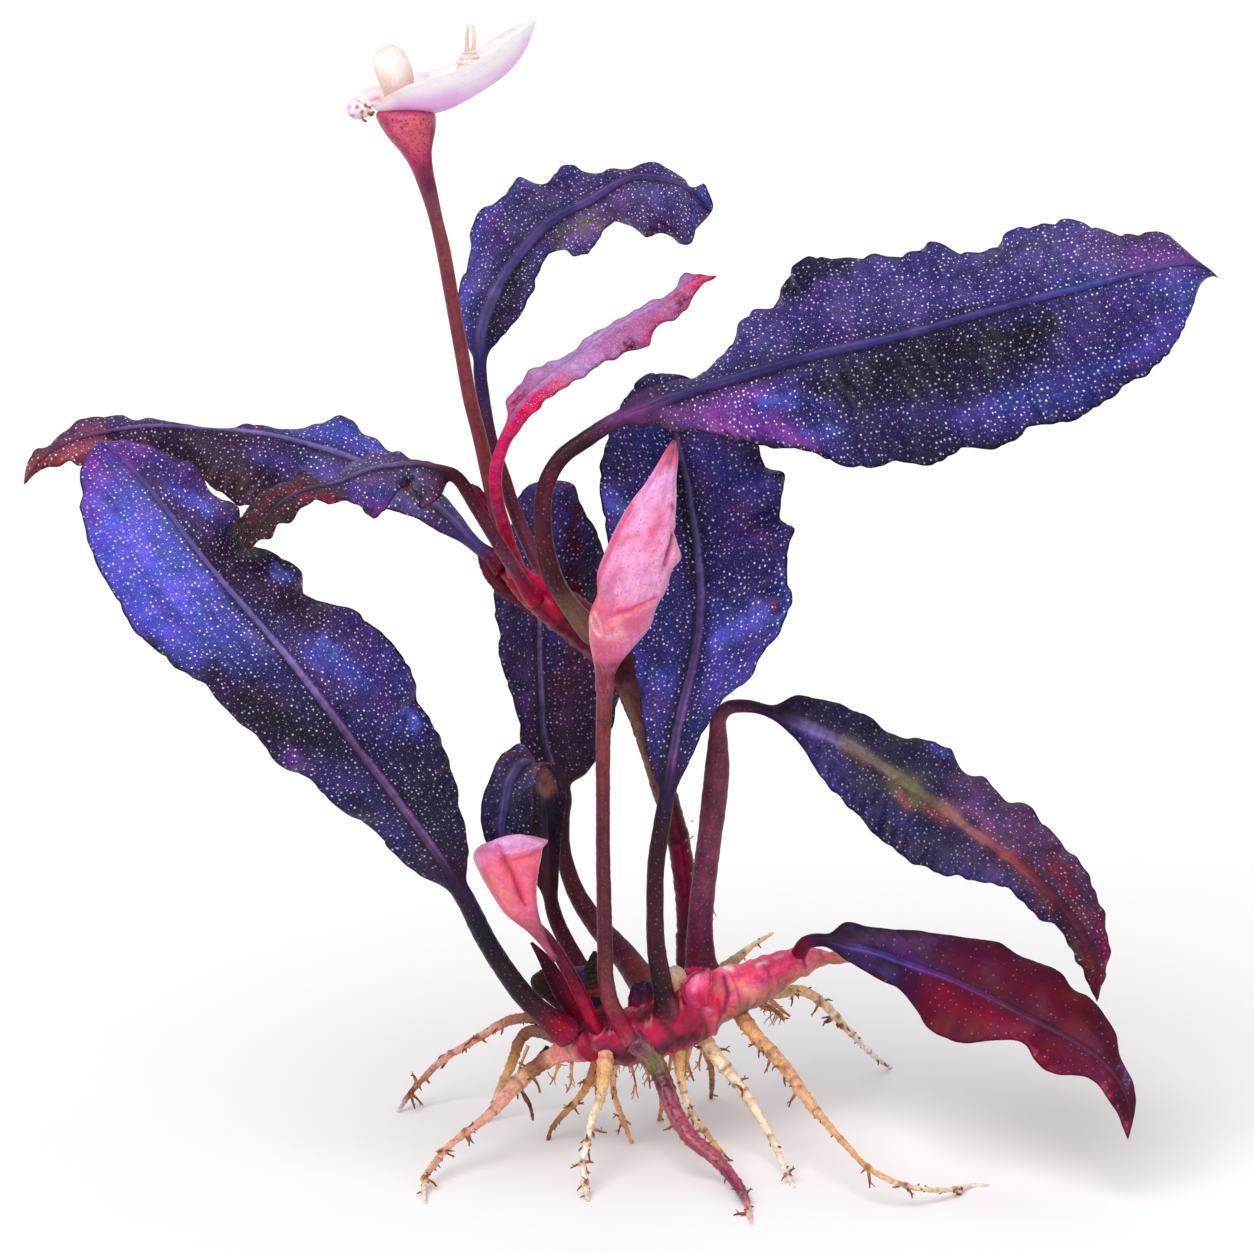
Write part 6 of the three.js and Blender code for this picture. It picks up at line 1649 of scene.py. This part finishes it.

# %% [markdown]
# ## Roots
# The roots are tan to pale, with brown knots where side roots left them, and end in a pale growing tip.
# Each comes down to the floor along its own curve, and the plant stands on their ends.

# %% Roots
# The rose line along root_maroon is a painted highlight, a long glossy streak.
ROOTS = read_sheet("""
root_left_high
start = -2 fall = 0.9
line = 570,1036 545,1020 515,1019 500,1025 480,1037 460,1049 440,1062 425,1077 412,1091 405,1101 398,1112
radii = 1.0 0.9 0.75 0.65 0.55 0.5 0.5 0.35 0.25
stops = 0 rhizome_brown, 0.2 root_brown, 0.4 root_pink, 0.7 root_pink, 0.9 root_brown, 1 root_white
knots = 500,1015 478,1037 450,1052 415,1082 412,1095

root_left_thick
start = -6 fall = 1.1
line = 592,1046 570,1049 548,1059 530,1072 512,1089 495,1109 478,1124 460,1137 445,1150 435,1163 425,1178
424,1191 425,1204
radii = 1.9 1.8 1.3 1.1 1.1 1.0 0.75 0.6 0.5 0.45 0.5 0.4 0.3
stops = 0 crimson, 0.04 root_pink, 0.1 salmon, 0.17 root_pink, 0.24 root_brown, 0.32 root_tan, 0.45
root_pink, 0.65 root_pink, 0.85 root_tan, 1 root_white
knots = 512,1078 530,1072 465,1130 440,1150 424,1178

root_left_short
start = -1 fall = 1.0
line = 562,1040 545,1034 530,1031 519,1042 514,1057 508,1072 500,1088 492,1108 487,1122
radii = 0.8 0.8 0.85 0.8 0.75 0.65 0.5 0.4 0.3
stops = 0 rhizome_brown, 0.3 root_brown, 0.6 root_gold, 1 root_pale

root_left_thin
start = -1 end = 2 radii = 0.4 0.35 0.35 0.3 0.2 stops = 0 root_dark, 1 root_brown
line = 548,1048 535,1062 520,1085 524,1095 530,1106 533,1120

root_middle_tan
start = -2 fall = 1 knots = 585,1082 573,1105
line = 602,1052 594,1068 590,1080 582,1094 571,1107 559,1119 551,1130 548,1140
radii = 0.75 0.7 0.6 0.5 0.45 0.35 0.25
stops = 0 rhizome_tan, 0.5 root_gold, 1 root_brown

root_middle_pale
start = -5 fall = 1.1
line = 606,1050 605,1065 603,1082 600,1100 592,1120 587,1142 583,1163 585,1184 588,1202
radii = 1.2 1.1 0.8 0.6 0.5 0.45 0.4 0.4 0.3
stops = 0 root_pink, 0.15 root_gold, 0.4 root_pale, 0.7 root_white, 1 root_pale
knots = 595,1130 589,1145 582,1162 586,1184

root_middle_thin
start = -3 fall = 1 radii = 0.6 0.5 0.4 0.4 0.35 0.25 stops = 0 root_pink, 1 root_gold knots = 619,1120
line = 617,1052 613,1080 615,1098 621,1114 626,1128 632,1143

root_maroon
start = -6 fall = 1.5
line = 632,1040 644,1050 655,1064 663,1080 670,1100 678,1119 692,1139 714,1157 730,1175 742,1192 748,1208
752,1226
radii = 1.5 1.5 1.35 1.25 1.2 1.2 1.1 1.0 0.85 0.75 0.45 0.3
stops = 0 wine, 0.05 bark_tan, 0.16 olive, 0.24 maroon_brown, 0.36 root_maroon, 0.7 root_maroon, 0.86 wine,
0.93 root_pink, 1 root_white
knots = 678,1125 722,1162 745,1195 744,1213
marks = 668,1090 678,1112 694,1134 712,1150 730,1166 742,1188: 2.4 rose 0.6

root_pale_behind
start = -1 fall = 1 knots = 690,1115 704,1130 720,1152
line = 678,1040 679,1060 681,1080 689,1108 704,1130 717,1147 726,1161
radii = 0.9 0.8 0.55 0.45 0.4 0.35 0.25
stops = 0 root_pink, 0.15 root_gold, 0.5 root_pale, 0.85 root_gold, 1 root_white

root_thin_behind
start = -1 fall = 1 radii = 0.5 0.45 0.4 0.35 0.25 stops = 0 root_brown, 1 root_gold
line = 648,1052 655,1070 660,1088 662,1104 659,1120

root_right_near
start = 1 fall = 1.1
line = 698,1025 705,1040 719,1060 735,1080 749,1100 762,1121 775,1145 785,1169 794,1188
radii = 1.1 1.05 0.95 0.8 0.7 0.55 0.5 0.4 0.25
stops = 0 root_gold, 0.2 root_pale, 0.7 root_pale, 1 root_white
knots = 710,1052 735,1085 745,1090 787,1175

root_right_small
start = 3 fall = 1 radii = 0.6 0.55 0.45 0.4 0.25 stops = 0 root_gold, 1 root_brown
line = 690,1030 702,1046 710,1064 712,1080 711,1098

root_right_long
start = 4 fall = 1.3
line = 728,1000 741,1016 755,1035 774,1055 790,1074 803,1094 822,1118 845,1144 867,1167 890,1180 915,1188
950,1190 972,1185 988,1186
radii = 1.1 1.1 1.0 0.95 0.85 0.8 0.55 0.45 0.4 0.4 0.35 0.35 0.3 0.25
stops = 0 rhizome_tan, 0.12 root_gold, 0.35 root_tan, 0.6 root_gold, 0.85 root_pale, 1 root_white
knots = 760,1042 770,1055 785,1068 800,1088 868,1168 905,1185 955,1189

root_right_far
start = 9 fall = 0.9
line = 760,988 778,993 795,990 810,994 825,1005 838,1019 850,1032 862,1044 875,1057 891,1068
radii = 0.9 0.85 0.75 0.7 0.65 0.6 0.5 0.45 0.35 0.25
stops = 0 yellow_olive, 0.2 root_gold, 0.5 root_pale, 0.8 root_white, 1 root_white
knots = 790,990 820,1003 838,1017 842,1027

root_right_up
start = 6 end = 14 radii = 0.9 0.8 0.7 0.5 0.35 0.2
line = 712,982 724,968 736,959 748,949 761,940 773,933
stops = 0 yellow_olive, 0.3 yellow_olive, 0.6 root_pale, 1 root_pale

root_right_bunch
start = 7 end = 12 radii = 0.6 0.6 0.4 0.2 stops = 0 root_gold, 1 root_brown
line = 748,992 761,1004 774,1010 784,1020
""")
ROOT_SLIMNESS = 0.88
THICK_ROOT = 1.2
SCAR_STEP = 5.5
STRAY_STEP = 2.2
SCAR_COLOURS = ["root_brown", "root_dark", "root_brown"]


def root_path(shape):
    """A root that comes down to the floor has the height top (1 - t)^fall; the others end at a depth."""
    curve = Outline(shape["line"])
    if "fall" not in shape:
        return lambda t: at_depth(curve.at(t), shape["start"] + (shape["end"] - shape["start"]) * t)
    top = at_depth(curve.at(np.zeros(1)), np.array([shape["start"]]))[0, 2]
    return lambda t: at_height(curve.at(t), top * (1 - t) ** shape["fall"])


random = np.random.default_rng(5)
twig_starts, twig_ways, twig_lengths = [], [], []
for number, (name, facts) in enumerate(ROOTS.items()):
    around = 24 if max(facts["radii"]) > THICK_ROOT else 16
    radii = np.array(facts["radii"])
    radii[1:] *= ROOT_SLIMNESS
    made = tube_rings(root_path(facts), radii, 0.2, around, 0.14, 60 + number)
    total = made[4]
    knots = facts.get("knots", "").split()
    marks = [f"{knot}: {random.uniform(2, 3.4)} root_brown 0.75" for knot in knots]
    marks = "; ".join(marks + ([facts["marks"]] if "marks" in facts else []))
    scars = [
        (place, random.uniform(0.12, 0.3), random.choice(SCAR_COLOURS), random.uniform(0.2, 0.6),
         random.uniform(0.0, 0.08))
        for place in np.arange(random.uniform(0.05, 0.1), 0.92, SCAR_STEP / total)
    ]

    def lumps(share, turn, seen, total, knots=knots, seed=number):
        height = 0.09 * waviness(share * total, 80 + seed, 4.0)
        height = height + 0.04 * waviness(share * total + turn, seed, 1.2)
        return height + sum(0.22 * nearness(seen, knot, 3) for knot in knots)

    grow(name, [wrap(made, facts["stops"], marks, lumps, scars, 0.8)])

    # twigs leave the knots by threes, and strays leave the root anywhere
    middle, thickness = made[0].mean(1), made[5][:, 0]
    away = [np.linalg.norm(seen_at(middle) - points_of(knot), axis=1) for knot in knots]
    stations = [distance.argmin() for distance in away for _ in range(3)]
    strays = random.uniform(0.12, 0.97, int(total / STRAY_STEP))
    longest = [1.9] * len(stations) + [0.8] * len(strays)
    for station, reach in zip([*stations, *(strays * (len(middle) - 1)).astype(int)], longest):
        out = unit(random.normal(size=3) * np.array([1, 0.7, 0.8]) + np.array([0, -0.25, -0.1]))
        twig_starts.append(middle[station] + out * thickness[station] * 0.6)
        twig_ways.append(out)
        twig_lengths.append(random.uniform(0.45, 1.0) * reach)

# %% [markdown]
# ## Rootlets and hairs
# Side roots and hairs finer than half a millimetre leave the knots, the underside of the rhizome and the
# lower shoot. Each one is a thin tapering tube along a curve that starts straight out and bends down by
# its own weight: start + way * length * t + down * sag * t^2.

# %% Rootlets and hairs
# where hairs grow: a line of pixels, its depth, how many there are and how far they scatter
HAIR_PLACES = read_sheet("""
under_the_young_end
depth = 6 count = 26 scatter = 3 line = 755,1003 770,1010 785,1014

under_the_old_end
depth = -1 count = 26 scatter = 3 line = 620,1058 640,1060 660,1058

shoot_right
depth = 7 count = 22 scatter = 2 line = 690,820 692,880 694,940

shoot_left
depth = 5 count = 8 scatter = 2 line = 652,745 664,790

shoot_side
depth = 4 count = 8 scatter = 1 line = 711,880 713,925
""")
LONG_HAIRS = 52

# thin golden side roots that hang from the underside of the rhizome: their start, their end and their depth
SIDE_ROOTS = """528 1046 516 1078 0, 560 1058 550 1082 -2, 572 1062 566 1090 -2, 600 1064 596 1092 -2,
630 1062 636 1084 0, 644 1062 650 1086 -1, 684 1048 694 1078 2, 690 1046 682 1084 2, 672 1054 668 1082 1,
706 1036 700 1068 3, 742 1014 752 1034 5, 770 1000 790 1014 7"""
BRANCHES = 5
THREAD_STOPS = "0 root_tan, 0.5 root_brown, 1 rust"
GOLD_STOPS = "0 root_tan, 0.5 root_gold, 1 root_brown"
FLOOR_GAP = 0.12


def fine_threads(starts, ways, lengths, radius, sag, seed, stations=7, around=6):
    """Many thin tubes at once. A thread's point at the share t is start + way length t - z sag length t^2,
    plus a small random bend."""
    random = np.random.default_rng(seed)
    count = len(starts)
    t = np.linspace(0, 1, stations)[None, :, None]
    bend = unit(random.normal(size=(count, 1, 3))) * lengths[:, None, None] * 0.22
    way = ways[:, None] * lengths[:, None, None]
    centre = starts[:, None] + way * t + bend * np.sin(math.pi * t) * t
    centre = centre - np.array([0, 0, 1.0]) * (sag * lengths)[:, None, None] * t**2
    centre[..., 2] = np.maximum(centre[..., 2], FLOOR_GAP)
    tangent = unit(np.gradient(centre, axis=1))
    side = unit(np.cross(tangent, np.array([0.3, 0.2, 1.0])))
    front = np.cross(side, tangent)
    angle = circle(around)[None, None, :, None]
    width = (np.broadcast_to(radius, (count,))[:, None, None] * (1 - 0.7 * t))[..., None]
    out = front[:, :, None] * np.sin(angle) - side[:, :, None] * np.cos(angle)
    return centre[:, :, None] + width * out


def thread_shells(rings, stops):
    share = np.linspace(0, 1, rings.shape[1])[:, None]
    tint = ramp(stops, np.broadcast_to(share, rings.shape[1:3]))
    lie = np.zeros((*rings.shape[1:3], 3))
    return [shell(ring, tint, lie, 0.0) for ring in rings]


def along_pixels(line, depth, count, scatter):
    """Random starting points round a line of pixels at one depth."""
    curve = Outline(line)
    seen = curve.at(random.random(count)) + random.normal(size=(count, 2)) * scatter
    return at_depth(seen, depth + random.normal(size=count) * 0.5)


twig_starts, twig_ways, twig_lengths = (np.array(v) for v in (twig_starts, twig_ways, twig_lengths))
twigs = fine_threads(twig_starts, twig_ways, twig_lengths, 0.15 + 0.07 * twig_lengths, 0.25, 6)
forked = np.flatnonzero(twig_lengths > 1.2)
fork_ways = unit(twig_ways[forked] + random.normal(size=(len(forked), 3)) * 0.9)
forks = fine_threads(twigs.mean(2)[forked, 4], fork_ways, twig_lengths[forked] * 0.45, 0.12, 0.2, 8)

hair_starts = np.vstack([along_pixels(**facts) for facts in HAIR_PLACES.values()])
hair_ways = unit(random.normal(size=hair_starts.shape) + np.array([0, -0.3, -0.5]))
hair_lengths = random.uniform(0.6, 2.0, len(hair_starts))
hair_lengths = hair_lengths * np.where(np.arange(len(hair_starts)) < LONG_HAIRS, 1, 0.45)
hairs = fine_threads(hair_starts, hair_ways, hair_lengths, 0.1, 0.3, 7)

table = np.array([row.split() for row in SIDE_ROOTS.split(",")], float)
side_starts, side_ends = (at_depth(table[:, k : k + 2], table[:, 4]) for k in (0, 2))
side_lengths = np.linalg.norm(side_ends - side_starts, axis=1)
side_roots = fine_threads(side_starts, unit(side_ends - side_starts), side_lengths,
                          random.uniform(0.25, 0.4, len(table)), 0.1, 9, stations=12, around=8)
branch_at = np.repeat(np.arange(len(table)), BRANCHES)
branch_starts = side_roots.mean(2)[branch_at, random.integers(3, 11, len(branch_at))]
branch_ways = unit(random.normal(size=branch_starts.shape) + np.array([0, 0, -0.4]))
branches = fine_threads(branch_starts, branch_ways, random.uniform(0.6, 1.8, len(branch_at)), 0.14, 0.2, 10)

brown = [one for rings in (twigs, forks, hairs) for one in thread_shells(rings, THREAD_STOPS)]
golden = [one for rings in (side_roots, branches) for one in thread_shells(rings, GOLD_STOPS)]
piece("rootlets", brown + golden, FINISHES["root_pale"], "root_pale")

# %% [markdown]
# Three short curly threads hang from the knob of the flower. Each is a small spiral that widens downward.

# %% Curly threads of the flower
CURL_STARTS = "362,110 368,109 371,110"
CURL_DEPTH = -7.5
curls = []
for number, place in enumerate(points_of(CURL_STARTS)):
    start = at_depth(place, np.array(CURL_DEPTH))

    def curl(t, start=start, number=number):
        """A small spiral that hangs from the knob."""
        turn = t * 5.5 + number * 1.9
        out = 0.35 * t[:, None] * np.stack([np.cos(turn), 0.5 * np.sin(turn * 1.3), np.sin(turn)], -1)
        return start + out + np.array([0.3, -0.5, -1.0 + 0.2 * number]) * t[:, None]

    curls.append(wrap(tube_rings(curl, [0.1, 0.09, 0.06], 0.12, 8), "0 peach, 1 rust", dots=0.0))
piece("flower_threads", curls, FINISHES["stub_brown"], "stub_brown")
